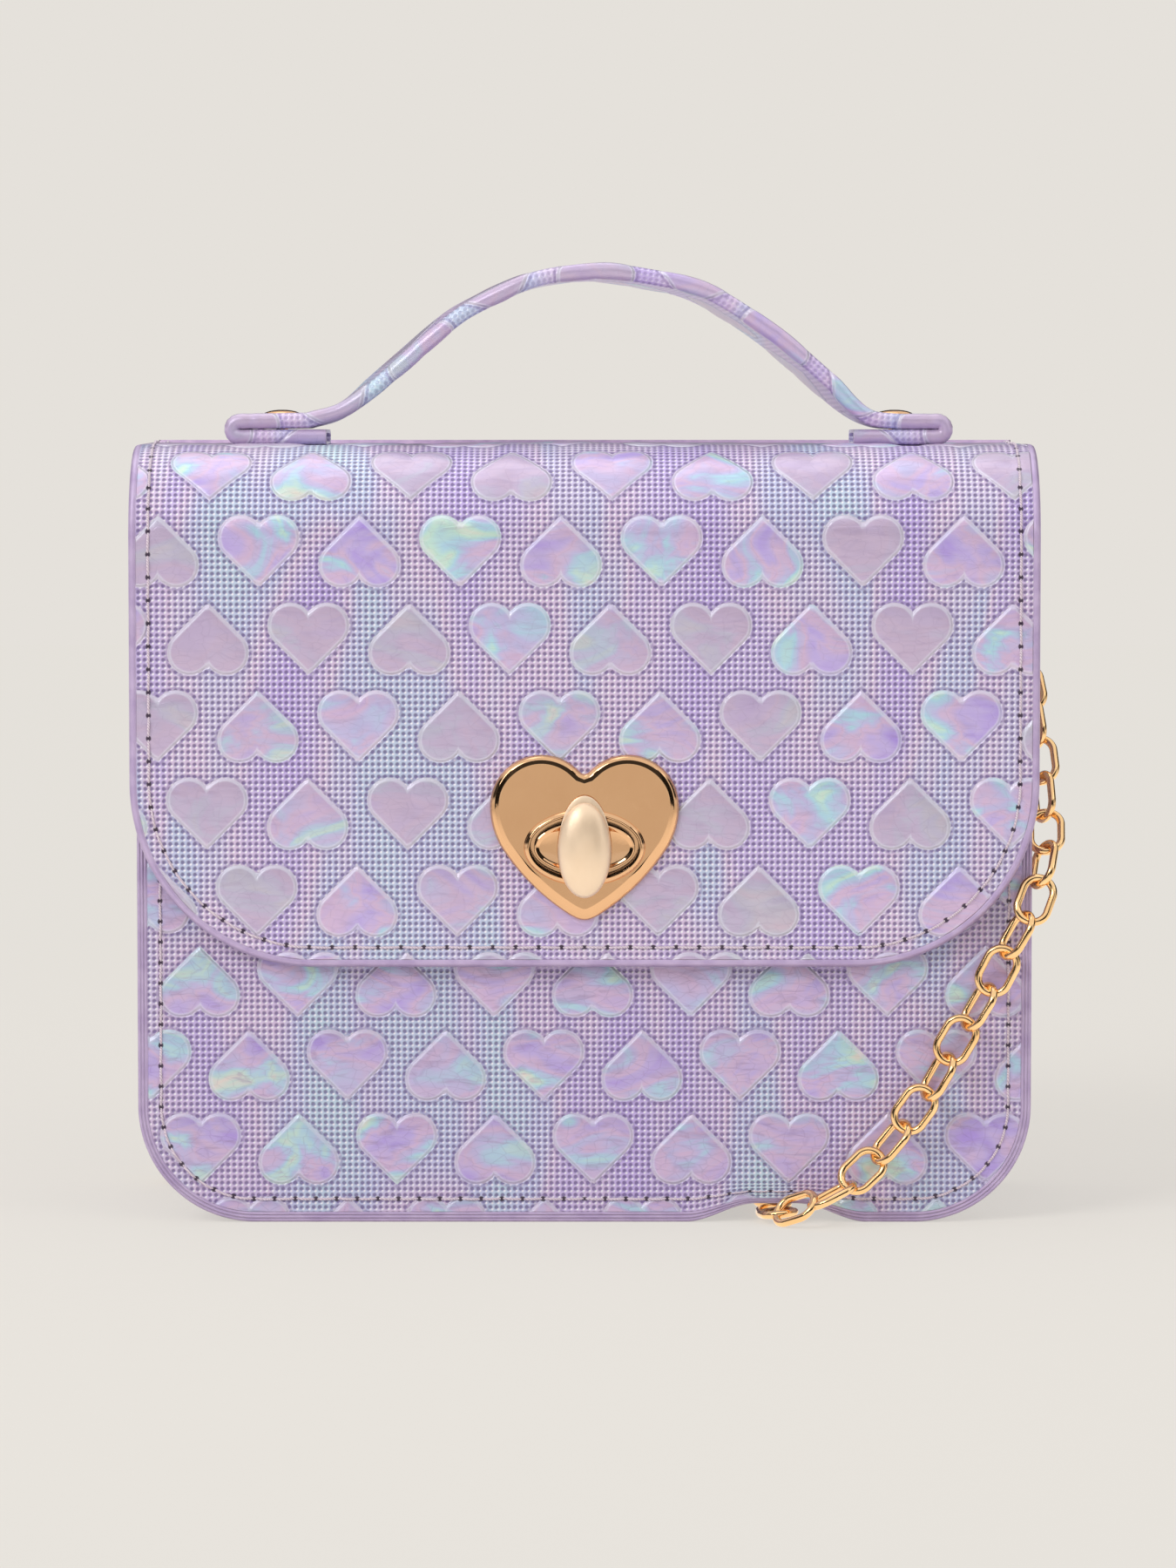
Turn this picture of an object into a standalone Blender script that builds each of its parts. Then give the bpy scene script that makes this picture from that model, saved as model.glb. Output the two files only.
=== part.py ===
"""Small rigid-panel satchel with a heart turn lock, a top handle and a chain.

Units are metres, +Z is up and the front faces -Y. Depths called "out" are
distances in front of the front panel's outer face, so what lies behind that
face has a negative one.
"""

import math

import bmesh
import bpy
import numpy as np
from mathutils import Matrix, Vector

# Clearances and cuts
gap = 0.0003
rivet_clearance = 0.0003
lock_clearance = 0.0003
cut_overrun = 0.0100
weld_distance = 0.000001

# Panels
panel_half_width = 0.0842
panel_thickness = 0.0016
panel_corner_radius = 0.0220
front_panel_top = 0.1315
back_panel_top = 0.1475
bag_depth = 0.0580

# Bottom edge, lifted where the bag rests on its chain
lift_start_x = -0.0540
lift_full_x = 0.0320
lift_fall_x = 0.0440
lift_end_x = 0.0615
lift_height = 0.0037

# Gusset
gusset_thickness = 0.0012
gusset_inset = 0.0072
gusset_front_top = 0.1310
gusset_back_top = 0.1425

# Lining and base board
lining_thickness = 0.0006
lining_front_room = 0.0022
lining_corner_radius = 0.0118
lining_top_drop = 0.0005
board_thickness = 0.0015
board_end_room = 0.0168
board_side_gap = 0.0010

# Flap
flap_half_width = 0.0852
flap_leather_thickness = 0.0017
flap_lining_thickness = 0.0006
flap_lining_margin = 0.0030
flap_stand_off = 0.0013
flap_bottom = 0.0487
flap_corner_radius = 0.0345
roof_top = 0.1465
flap_bend_radius = 0.0180
flap_split_angle = math.radians(45)

# Turn lock
lock_height = 0.0713
plate_thickness = 0.0016
plate_bevel = 0.0004
plate_half_width = 0.01765
plate_outline_shares = (
    (0, 0.734),
    (0.031, 0.745),
    (0.057, 0.767),
    (0.136, 0.836),
    (0.234, 0.893),
    (0.343, 0.929),
    (0.456, 0.941),
    (0.569, 0.929),
    (0.678, 0.893),
    (0.776, 0.836),
    (0.861, 0.760),
    (0.928, 0.667),
    (0.974, 0.563),
    (0.998, 0.451),
    (0.996, 0.305),
    (0.968, 0.160),
    (0.915, 0.021),
    (0.856, -0.081),
    (0.706, -0.280),
    (0.536, -0.463),
    (0.348, -0.626),
    (0.162, -0.758),
    (0.108, -0.785),
    (0.057, -0.808),
    (0, -0.816),
)
slot_half_width = 0.0102
slot_half_height = 0.00595
ring_half_width = 0.01135
ring_half_height = 0.00715
ring_rise = 0.0007
leather_slot_margin = 0.0005
backing_half_width = 0.0150
backing_half_height = 0.0110
barrel_half_width = 0.00945
barrel_half_height = 0.0048
flange_half_width = 0.0130
flange_half_height = 0.0085
flange_thickness = 0.0007
barrel_end_out = 0.0062
boss_radius = 0.0040
boss_length = 0.0025
washer_radius = 0.0080
washer_thickness = 0.0008
knob_half_width = 0.0051
knob_half_height = 0.0094
knob_side_height = 0.0019
knob_dome_height = 0.0019
post_radius = 0.0019
clip_radius = 0.0036
clip_thickness = 0.0008
knob_dome_shares = (
    (0, 1),
    (0.32, 0.95),
    (0.58, 0.80),
    (0.80, 0.52),
    (0.94, 0.22),
    (1, 0),
)

# D-rings and their tabs
tab_width = 0.0120
tab_layer = 0.0011
tab_top = 0.1365
tab_rivet_height = 0.1315
tab_fold_height = 0.0055
tab_loop_start = math.pi
tab_loop_end = math.radians(405)
ring_wire_radius = 0.0010
ring_bar_height = 0.1240
ring_half_length = 0.0072
ring_corner_radius = 0.0016
ring_drop = 0.0095
ring_lean = math.radians(9)
tab_rivet_head_radius = 0.0028
tab_rivet_head_height = 0.0011
tab_rivet_head_shares = ((0, 1), (0.5, 0.85), (0.85, 0.45), (1, 0))

# Rivets
rivet_post_radius = 0.0012
rivet_head_radius = 0.0038
rivet_head_height = 0.0013
rivet_head_shares = ((0, 1), (0.45, 0.92), (0.78, 0.66), (1, 0.2), (1, 0))
rivet_back_radius = 0.0036
rivet_back_thickness = 0.0011

# Handle
handle_y = 0.0070
handle_width = 0.0190
handle_thickness = 0.0023
handle_layer_gap = 0.0007
handle_point_spacing = 0.0025
handle_rivet_left_x = -0.0583
handle_rivet_right_x = 0.0597
handle_fold_left_x = -0.0660
handle_fold_right_x = 0.0675
handle_cut_left_x = -0.0495
handle_cut_right_x = 0.0515
handle_arch_points = (
    (-0.0520, 0.0000),
    (-0.0460, 0.0012),
    (-0.0366, 0.0101),
    (-0.0241, 0.0223),
    (-0.0117, 0.0280),
    (0.0007, 0.0301),
    (0.0092, 0.0293),
    (0.0221, 0.0262),
    (0.0350, 0.0176),
    (0.0446, 0.0087),
    (0.0506, 0.0024),
    (0.0545, 0.0003),
    (0.0560, 0.0000),
    (0.0600, 0.0000),
)

# Chain
link_wire = 0.0014
link_half_width = 0.0029
link_pitch = 0.0076
link_overlap = 0.0002
drop_link_count = 20
floor_roll = math.radians(19)
hanging_roll = math.radians(45)
floor_links = 4
under_chain_diameter = 0.0032
chain_diameter = 0.0046
chain_floor_gap = 0.000075
tube_spacing_share = 2.5
coil_radius = 0.0300
coil_spacing = 0.0052
coil_turns_per_layer = 2
coil_centre = (0.0060, 0.0680)
coil_points_per_turn = 24
drop_route_points = (
    (0.0817, 0.0038, 0.1128),
    (0.0836, -0.0008, 0.1052),
    (0.0853, -0.0055, 0.0963),
    (0.0864, -0.0100, 0.0880),
    (0.0870, -0.0138, 0.0805),
    (0.0872, -0.0176, 0.0743),
    (0.0865, -0.0226, 0.0683),
    (0.0843, -0.0270, 0.0606),
    (0.0808, -0.0280, 0.0544),
    (0.0773, -0.0281, 0.0478),
    (0.0737, -0.0281, 0.0408),
    (0.0694, -0.0281, 0.0344),
    (0.0662, -0.0281, 0.0277),
    (0.0618, -0.0281, 0.0217),
    (0.0574, -0.0281, 0.0155),
    (0.0526, -0.0285, 0.0108),
    (0.0483, -0.0300, 0.0070),
    (0.0434, -0.0312, 0.0048),
    (0.0392, -0.0298, 0.0034),
    (0.0368, -0.0254, 0.0019),
    (0.0360, -0.0180, 0.0017),
    (0.0360, -0.0060, 0.0017),
    (0.0360, 0.0200, 0.0017),
    (0.0360, 0.0360, 0.0018),
    (0.0360, 0.0480, 0.0024),
    (0.0360, 0.0680, 0.0024),
)
rise_route_points = (
    (-0.0240, 0.0680, 0.0076),
    (-0.0240, 0.0640, 0.0076),
    (-0.0240, 0.0605, 0.0076),
    (-0.0250, 0.0545, 0.0070),
    (-0.0310, 0.0475, 0.0040),
    (-0.0440, 0.0420, 0.0024),
    (-0.0620, 0.0405, 0.0024),
    (-0.0740, 0.0398, 0.0024),
    (-0.0800, 0.0365, 0.0027),
    (-0.0814, 0.0305, 0.0050),
    (-0.0814, 0.0262, 0.0120),
    (-0.0812, 0.0235, 0.0300),
    (-0.0812, 0.0190, 0.0560),
    (-0.0812, 0.0115, 0.0880),
    (-0.0812, 0.0052, 0.1132),
)

# Facets
corner_steps = 8
bottom_steps = 24
lining_corner_steps = 6
flap_columns = 9
flap_corner_steps = 10
bend_steps = 5
tab_loop_steps = 14
fold_steps = 8
ring_corner_steps = 3
ring_bowl_steps = 16
link_end_steps = 6

# Values that follow from the sizes above
leather_inner_out = flap_stand_off + flap_lining_thickness + gap
flap_outer_out = leather_inner_out + flap_leather_thickness
plate_inner_out = flap_outer_out + gap
plate_outer_out = plate_inner_out + plate_thickness
slot_ring_out = plate_outer_out + ring_rise
knob_inner_out = slot_ring_out + lock_clearance
stand_out = knob_inner_out + knob_side_height + knob_dome_height
front_y = (stand_out - bag_depth) / 2
back_y = front_y + bag_depth
middle_y = front_y + bag_depth / 2
back_inner_y = back_y - panel_thickness
gusset_front_y = front_y + panel_thickness + gap
gusset_back_y = back_inner_y - gap
web_outer_x = panel_half_width - gusset_inset
web_inner_x = web_outer_x - gusset_thickness
web_inner_inset = gusset_inset + gusset_thickness
board_bottom = web_inner_inset + gap
lining_bottom = board_bottom + board_thickness + gap
lining_half_width = web_inner_x - gap
lining_front_y = gusset_front_y + lining_front_room
lining_back_y = gusset_back_y
bend_centre_y = front_y - flap_outer_out + flap_bend_radius
bend_centre_z = roof_top - flap_bend_radius
roof_back_y = back_inner_y - gap
roof_underside = roof_top - flap_leather_thickness - gap - flap_lining_thickness
board_half_length = web_inner_x - board_end_room
tab_inner_x = web_outer_x + gap
ring_bar_x = tab_inner_x + tab_layer + gap + ring_wire_radius
tab_loop_radius = ring_wire_radius + gap + tab_layer
under_layer_middle = roof_top + gap + handle_thickness / 2
upper_layer_middle = under_layer_middle + handle_thickness + handle_layer_gap
strap_top = upper_layer_middle + handle_thickness / 2
rivet_back_top = roof_underside - gap


def clear_scene():
    """Remove every object of the starting scene."""
    for item in list(bpy.data.objects):
        bpy.data.objects.remove(item, do_unlink=True)


def new_collection(name):
    """Add a collection to the scene."""
    collection = bpy.data.collections.new(name)
    bpy.context.scene.collection.children.link(collection)
    return collection


def new_finish(name, colour, roughness, metallic):
    """Make a plain Principled material."""
    finish = bpy.data.materials.new(name)
    finish.use_nodes = True
    shader = finish.node_tree.nodes["Principled BSDF"]
    shader.inputs["Base Color"].default_value = (*colour, 1)
    shader.inputs["Roughness"].default_value = roughness
    shader.inputs["Metallic"].default_value = metallic
    return finish


clear_scene()
parts = new_collection("satchel")
cutters = new_collection("cutters")
leather = new_finish("lilac_leather", (0.58, 0.49, 0.72), 0.32, 0)
leather_back = new_finish("lilac_leather_back", (0.47, 0.39, 0.60), 0.5, 0)
cloth = new_finish("lining_cloth", (0.42, 0.36, 0.50), 0.9, 0)
card = new_finish("base_card", (0.38, 0.34, 0.30), 0.9, 0)
gold = new_finish("rose_gold", (0.83, 0.58, 0.36), 0.22, 1)


def add_object(name, data, finish):
    """Put named geometry with its finish into the collection of parts."""
    item = bpy.data.objects.new(name, data)
    data.materials.append(finish)
    parts.objects.link(item)
    return item


def make_cutter(item):
    """Move an operand out of the parts and hide it from renders."""
    for collection in list(item.users_collection):
        collection.objects.unlink(item)
    cutters.objects.link(item)
    item.hide_render = True
    item.display_type = "WIRE"
    return item


def to_mesh(item):
    """Replace a curve object by a welded mesh object of the same name."""
    bpy.context.view_layer.update()
    graph = bpy.context.evaluated_depsgraph_get()
    mesh = bpy.data.meshes.new_from_object(item.evaluated_get(graph))
    shell = bmesh.new()
    shell.from_mesh(mesh)
    bmesh.ops.remove_doubles(shell, verts=shell.verts, dist=weld_distance)
    bmesh.ops.recalc_face_normals(shell, faces=shell.faces)
    shell.to_mesh(mesh)
    shell.free()
    name = item.name
    matrix = item.matrix_world.copy()
    bpy.data.objects.remove(item, do_unlink=True)
    solid = bpy.data.objects.new(name, mesh)
    solid.matrix_world = matrix
    parts.objects.link(solid)
    return solid


def apply_boolean(item, operand, operation):
    """Join or cut with another object."""
    step = item.modifiers.new(operation.lower(), "BOOLEAN")
    step.operation = operation
    step.object = operand
    step.solver = "EXACT"


def ellipse(half_width, half_height, count=40, centre=(0, 0)):
    """Return the points of an ellipse."""
    points = []
    for index in range(count):
        angle = math.tau * index / count
        x = centre[0] + half_width * math.cos(angle)
        z = centre[1] + half_height * math.sin(angle)
        points.append((x, z))
    return points


def facing_plate(name, loops, inner_out, thickness, finish, bevel=0):
    """Make a flat plate that faces -Y from its outline and its holes."""
    outline = bpy.data.curves.new(name, "CURVE")
    outline.dimensions = "2D"
    outline.fill_mode = "BOTH"
    outline.extrude = thickness / 2 - bevel
    outline.bevel_depth = bevel
    outline.bevel_resolution = 1
    outline.offset = -bevel
    for loop in loops:
        spline = outline.splines.new("POLY")
        spline.points.add(len(loop) - 1)
        for point, (x, z) in zip(spline.points, loop):
            point.co = (x, z, 0, 1)
        spline.use_cyclic_u = True
        spline.use_smooth = False
    item = add_object(name, outline, finish)
    item.rotation_euler = (math.pi / 2, 0, 0)
    item.location = (0, front_y - inner_out - thickness / 2, 0)
    return item


def sheet(name, rows, thickness, finish):
    """Thicken a grid of points towards the side its faces look away from."""
    mesh = bpy.data.meshes.new(name)
    columns = len(rows[0])
    points = [point for row in rows for point in row]
    faces = []
    for row in range(len(rows) - 1):
        for column in range(columns - 1):
            first = row * columns + column
            faces.append((first, first + columns, first + columns + 1, first + 1))
    mesh.from_pydata(points, [], faces)
    mesh.update()
    item = add_object(name, mesh, finish)
    shell = item.modifiers.new("thickness", "SOLIDIFY")
    shell.thickness = thickness
    shell.offset = -1
    shell.use_even_offset = True
    return item


def turned(name, profile, finish, steps=28):
    """Turn a half section of (radius, height) points about the local Z axis."""
    mesh = bpy.data.meshes.new(name)
    points = [(radius, 0, height) for radius, height in profile]
    edges = [(index, index + 1) for index in range(len(points) - 1)]
    mesh.from_pydata(points, edges, [])
    item = add_object(name, mesh, finish)
    screw = item.modifiers.new("turn", "SCREW")
    screw.axis = "Z"
    screw.angle = math.tau
    screw.steps = steps
    screw.render_steps = steps
    screw.use_merge_vertices = True
    screw.merge_threshold = weld_distance
    screw.use_smooth_shade = True
    return item


def washer_profile(inner, outer, bottom, top):
    """Return the closed half section of a flat ring."""
    return [(inner, top), (outer, top), (outer, bottom), (inner, bottom), (inner, top)]


def tube(name, points, diameter, finish, closed=False, detail=2):
    """Run a round tube through points."""
    wire = bpy.data.curves.new(name, "CURVE")
    wire.dimensions = "3D"
    wire.bevel_depth = diameter / 2
    wire.bevel_resolution = detail
    wire.use_fill_caps = not closed
    spline = wire.splines.new("POLY")
    spline.points.add(len(points) - 1)
    for point, place in zip(spline.points, points):
        point.co = (*place, 1)
    spline.use_cyclic_u = closed
    return add_object(name, wire, finish)


def cylinder_cutter(name, radii, length, centre, turn):
    """Make an elliptic cylinder about its own Z axis to cut a hole with."""
    bpy.ops.mesh.primitive_cylinder_add(vertices=32, radius=1, depth=1)
    item = bpy.context.object
    item.name = name
    item.scale = (radii[0], radii[1], length)
    item.rotation_euler = turn
    item.location = centre
    return make_cutter(item)


def hole_cutter(name, radii, centre, turn):
    """Make a cutter that runs out past both faces of the piece it cuts."""
    return cylinder_cutter(name, radii, 2 * cut_overrun, centre, turn)


def rivet_hole_cutter(name, centre, turn):
    """Make a cutter for the hole that a rivet's post goes through."""
    radius = rivet_post_radius + rivet_clearance
    return hole_cutter(name, (radius, radius), centre, turn)


def arc(centre, radius, start, end, steps):
    """Return points along an arc in the XZ plane, both ends included."""
    points = []
    for index in range(steps + 1):
        angle = start + (end - start) * index / steps
        x = centre[0] + radius * math.cos(angle)
        z = centre[1] + radius * math.sin(angle)
        points.append((x, z))
    return points


def bottom_lift(x):
    """Return how far the panels' bottom edge stands off the floor at x."""
    if x <= lift_start_x or x >= lift_end_x:
        return 0
    if x < lift_full_x:
        return lift_height * (x - lift_start_x) / (lift_full_x - lift_start_x)
    if x <= lift_fall_x:
        return lift_height
    fall = (x - lift_fall_x) / (lift_end_x - lift_fall_x)
    return lift_height * (1 + math.cos(math.pi * fall)) / 2


def u_path(inset, top, follow_lift=False):
    """Return the U of the bag's front view, moved in from the panels' edge."""
    centre_x = panel_half_width - panel_corner_radius
    centre_z = panel_corner_radius
    radius = panel_corner_radius - inset
    left = arc((-centre_x, centre_z), radius, math.pi, math.pi * 1.5, corner_steps)
    right = arc((centre_x, centre_z), radius, math.pi * 1.5, math.tau, corner_steps)
    bottom = []
    for share in np.linspace(-1, 1, bottom_steps, endpoint=False)[1:]:
        x = float(share) * centre_x
        rise = bottom_lift(x) if follow_lift else 0
        bottom.append((x, inset + rise))
    edge = panel_half_width - inset
    return [(-edge, top), *left, *bottom, *right, (edge, top)]


def make_panels():
    """Make the front and the back panel."""
    front_outline = u_path(0, front_panel_top, follow_lift=True)
    lock_hole = ellipse(
        boss_radius + lock_clearance, boss_radius + lock_clearance, 24, (0, lock_height)
    )
    facing_plate(
        "front_panel", [front_outline, lock_hole], -panel_thickness, panel_thickness, leather
    )
    back_outline = u_path(0, back_panel_top, follow_lift=True)
    facing_plate("back_panel", [back_outline], -bag_depth, panel_thickness, leather)


def make_gusset():
    """Make the U-shaped side and base strip with its turned-out seam edges."""
    edges = u_path(0, 0, follow_lift=True)
    webs = u_path(web_inner_inset, 0)
    last = len(edges) - 1
    rows = []
    for index, (edge, web) in enumerate(zip(edges, webs)):
        at_top = index in (0, last)
        edge_front = gusset_front_top if at_top else edge[1]
        edge_back = gusset_back_top if at_top else edge[1]
        web_front = gusset_front_top if at_top else web[1]
        web_back = gusset_back_top if at_top else web[1]
        row = [
            (edge[0], gusset_front_y, edge_front),
            (web[0], gusset_front_y, web_front),
            (web[0], gusset_back_y, web_back),
            (edge[0], gusset_back_y, edge_back),
        ]
        rows.append(row)
    gusset = sheet("gusset", rows, gusset_thickness, leather)
    for side in (-1, 1):
        hole = rivet_hole_cutter(
            f"gusset_rivet_hole_{side}",
            (side * web_inner_x, middle_y, tab_rivet_height),
            (0, math.pi / 2, 0),
        )
        apply_boolean(gusset, hole, "DIFFERENCE")


def make_lining():
    """Make the open cloth box inside the bag and the board under it."""
    centre_x = lining_half_width - lining_corner_radius
    centre_z = lining_bottom + lining_corner_radius
    radius = lining_corner_radius
    left = arc((-centre_x, centre_z), radius, math.pi, math.pi * 1.5, lining_corner_steps)
    right = arc((centre_x, centre_z), radius, math.pi * 1.5, math.tau, lining_corner_steps)
    outline = [(-lining_half_width, 0), *left, *right, (lining_half_width, 0)]
    front_top = gusset_front_top - lining_top_drop
    back_top = gusset_back_top - lining_top_drop
    last = len(outline) - 1
    front = []
    back = []
    for index, (x, z) in enumerate(outline):
        at_top = index in (0, last)
        front.append((x, lining_front_y, front_top if at_top else z))
        back.append((x, lining_back_y, back_top if at_top else z))
    count = len(outline)
    faces = [tuple(reversed(range(count))), tuple(range(count, count * 2))]
    for index in range(last):
        faces.append((index, index + 1, count + index + 1, count + index))
    mesh = bpy.data.meshes.new("lining")
    mesh.from_pydata([*front, *back], [], faces)
    mesh.update()
    shell = bmesh.new()
    shell.from_mesh(mesh)
    bmesh.ops.recalc_face_normals(shell, faces=shell.faces)
    shell.to_mesh(mesh)
    shell.free()
    lining = add_object("lining", mesh, cloth)
    walls = lining.modifiers.new("thickness", "SOLIDIFY")
    walls.thickness = lining_thickness
    walls.offset = -1
    walls.use_even_offset = True

    board = add_object("base_board", bpy.data.meshes.new("base_board"), card)
    block = bmesh.new()
    bmesh.ops.create_cube(block, size=1)
    board_depth = lining_back_y - lining_front_y - 2 * board_side_gap
    bmesh.ops.scale(
        block, vec=(2 * board_half_length, board_depth, board_thickness), verts=block.verts
    )
    block.to_mesh(board.data)
    block.free()
    board.location = (
        0,
        (lining_back_y + lining_front_y) / 2,
        board_bottom + board_thickness / 2,
    )


def bend_point(inset, angle):
    """Return (y, z) on the flap's bend; the angle runs from the roof forward."""
    radius = flap_bend_radius - inset
    y = bend_centre_y - radius * math.sin(angle)
    z = bend_centre_z + radius * math.cos(angle)
    return y, z


def flap_row(half_width, y, z):
    """Return one row of points across the flap."""
    shares = np.linspace(-1, 1, flap_columns)
    return [(float(share) * half_width, y, z) for share in shares]


def make_roof(name, inset, thickness, margin, finish):
    """Make one layer of the part of the flap that covers the top."""
    half_width = flap_half_width - margin
    rows = [flap_row(half_width, roof_back_y, roof_top - inset)]
    for index in range(bend_steps + 1):
        y, z = bend_point(inset, flap_split_angle * index / bend_steps)
        rows.append(flap_row(half_width, y, z))
    roof = sheet(name, rows, thickness, finish)
    for side, x in (("left", handle_rivet_left_x), ("right", handle_rivet_right_x)):
        hole = rivet_hole_cutter(
            f"{name}_rivet_hole_{side}", (x, handle_y, roof_top), (0, 0, 0)
        )
        apply_boolean(roof, hole, "DIFFERENCE")
    return roof


def make_front(name, inset, thickness, margin, finish, slot_radii):
    """Make one layer of the part of the flap that hangs in front."""
    half_width = flap_half_width - margin
    corner = flap_corner_radius - margin
    bottom = flap_bottom + margin
    y_front = bend_centre_y - (flap_bend_radius - inset)
    start = flap_split_angle + gap / flap_bend_radius
    rows = []
    for index in range(bend_steps + 1):
        angle = start + (math.pi / 2 - start) * index / bend_steps
        y, z = bend_point(inset, angle)
        rows.append(flap_row(half_width, y, z))
    corner_z = bottom + corner
    for index in range(flap_corner_steps + 1):
        angle = math.pi / 2 * index / flap_corner_steps
        width = half_width - corner + corner * math.cos(angle)
        rows.append(flap_row(width, y_front, corner_z - corner * math.sin(angle)))
    front = sheet(name, rows, thickness, finish)
    slot = hole_cutter(
        f"{name}_slot", slot_radii, (0, y_front, lock_height), (math.pi / 2, 0, 0)
    )
    apply_boolean(front, slot, "DIFFERENCE")
    return front


def heart_outline():
    """Return the plate's rounded heart: its right half from notch to tip, then its left."""
    right = []
    for across, rise in plate_outline_shares:
        right.append((plate_half_width * across, lock_height + plate_half_width * rise))
    left = [(-x, z) for x, z in reversed(right[1:-1])]
    return [*right, *left]


def make_lock():
    """Make the heart plate, its backing, the lock base and the turn knob."""
    centre = (0, lock_height)
    slot = ellipse(slot_half_width, slot_half_height, centre=centre)
    plate = facing_plate(
        "heart_plate",
        [heart_outline(), slot],
        plate_inner_out,
        plate_thickness,
        gold,
        plate_bevel,
    )
    plate = to_mesh(plate)
    rim_outer = ellipse(ring_half_width, ring_half_height, centre=centre)
    rim_inner = ellipse(slot_half_width, slot_half_height, centre=centre)
    rim = facing_plate(
        "slot_ring",
        [rim_outer, rim_inner],
        plate_inner_out + plate_bevel,
        plate_thickness - plate_bevel + ring_rise,
        gold,
    )
    rim = to_mesh(rim)
    apply_boolean(plate, make_cutter(rim), "UNION")

    backing_outline = ellipse(backing_half_width, backing_half_height, centre=centre)
    facing_plate(
        "heart_backing", [backing_outline, slot], flap_stand_off, flap_lining_thickness, gold
    )

    flange = ellipse(flange_half_width, flange_half_height, centre=centre)
    base = to_mesh(facing_plate("lock_base", [flange], gap, flange_thickness, gold))
    barrel_outline = ellipse(barrel_half_width, barrel_half_height, centre=centre)
    barrel = facing_plate(
        "lock_barrel", [barrel_outline], flange_thickness, barrel_end_out - flange_thickness, gold
    )
    apply_boolean(base, make_cutter(to_mesh(barrel)), "UNION")
    boss_depth = boss_length + flange_thickness
    boss = cylinder_cutter(
        "lock_boss",
        (boss_radius, boss_radius),
        boss_depth,
        (0, front_y + boss_length - boss_depth / 2, lock_height),
        (math.pi / 2, 0, 0),
    )
    apply_boolean(base, boss, "UNION")
    bore = hole_cutter(
        "lock_bore",
        (post_radius + lock_clearance, post_radius + lock_clearance),
        (0, front_y, lock_height),
        (math.pi / 2, 0, 0),
    )
    apply_boolean(base, bore, "DIFFERENCE")

    washer_front = -panel_thickness - gap
    washer = turned(
        "lock_washer",
        washer_profile(
            boss_radius + lock_clearance,
            washer_radius,
            washer_front - washer_thickness,
            washer_front,
        ),
        gold,
    )
    face_front(washer)

    side_out = knob_inner_out + knob_side_height
    profile = [(share, side_out + rise * knob_dome_height) for share, rise in knob_dome_shares]
    profile.extend([(1, knob_inner_out), (0, knob_inner_out)])
    knob = turned("turn_knob", profile, gold)
    knob.scale = (knob_half_width, knob_half_height, 1)
    face_front(knob)
    clip_front = -boss_length - gap
    post_end = clip_front - clip_thickness - gap
    post_length = knob_inner_out + gap - post_end
    post = cylinder_cutter(
        "knob_post",
        (post_radius, post_radius),
        post_length,
        (0, front_y - post_end - post_length / 2, lock_height),
        (math.pi / 2, 0, 0),
    )
    apply_boolean(knob, post, "UNION")
    clip = turned(
        "knob_clip",
        washer_profile(
            post_radius + lock_clearance, clip_radius, clip_front - clip_thickness, clip_front
        ),
        gold,
    )
    face_front(clip)


def face_front(item):
    """Lay a turned piece on the lock's axis, with its local Z pointing out."""
    item.rotation_euler = (math.pi / 2, 0, 0)
    item.location = (0, front_y, lock_height)


def d_ring_points(side):
    """Return the closed D of a ring that hangs from its bar, leaning outward."""
    corner = ring_corner_radius
    centre = (ring_half_length - corner, -corner)
    right_corner = arc(centre, corner, math.pi / 2, 0, ring_corner_steps)
    left_corner = [(-across, down) for across, down in reversed(right_corner)]
    depth = ring_drop - corner
    bowl = []
    for index in range(1, ring_bowl_steps):
        angle = math.pi * index / ring_bowl_steps
        across = ring_half_length * math.cos(angle)
        bowl.append((across, -corner - depth * math.sin(angle)))
    points = []
    for across, down in [*right_corner, *bowl, *left_corner]:
        x = ring_bar_x - down * math.sin(ring_lean)
        z = ring_bar_height + down * math.cos(ring_lean)
        points.append((side * x, middle_y + across, z))
    return points


def rivet_profile(shares, head_radius, head_height, head_base, post_end):
    """Return the half section of a rivet's cap and of the post under it."""
    head = [(head_radius * across, head_base + head_height * rise) for across, rise in shares]
    post = [(rivet_post_radius, head_base), (rivet_post_radius, post_end), (0, post_end)]
    return [*head, *post]


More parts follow.
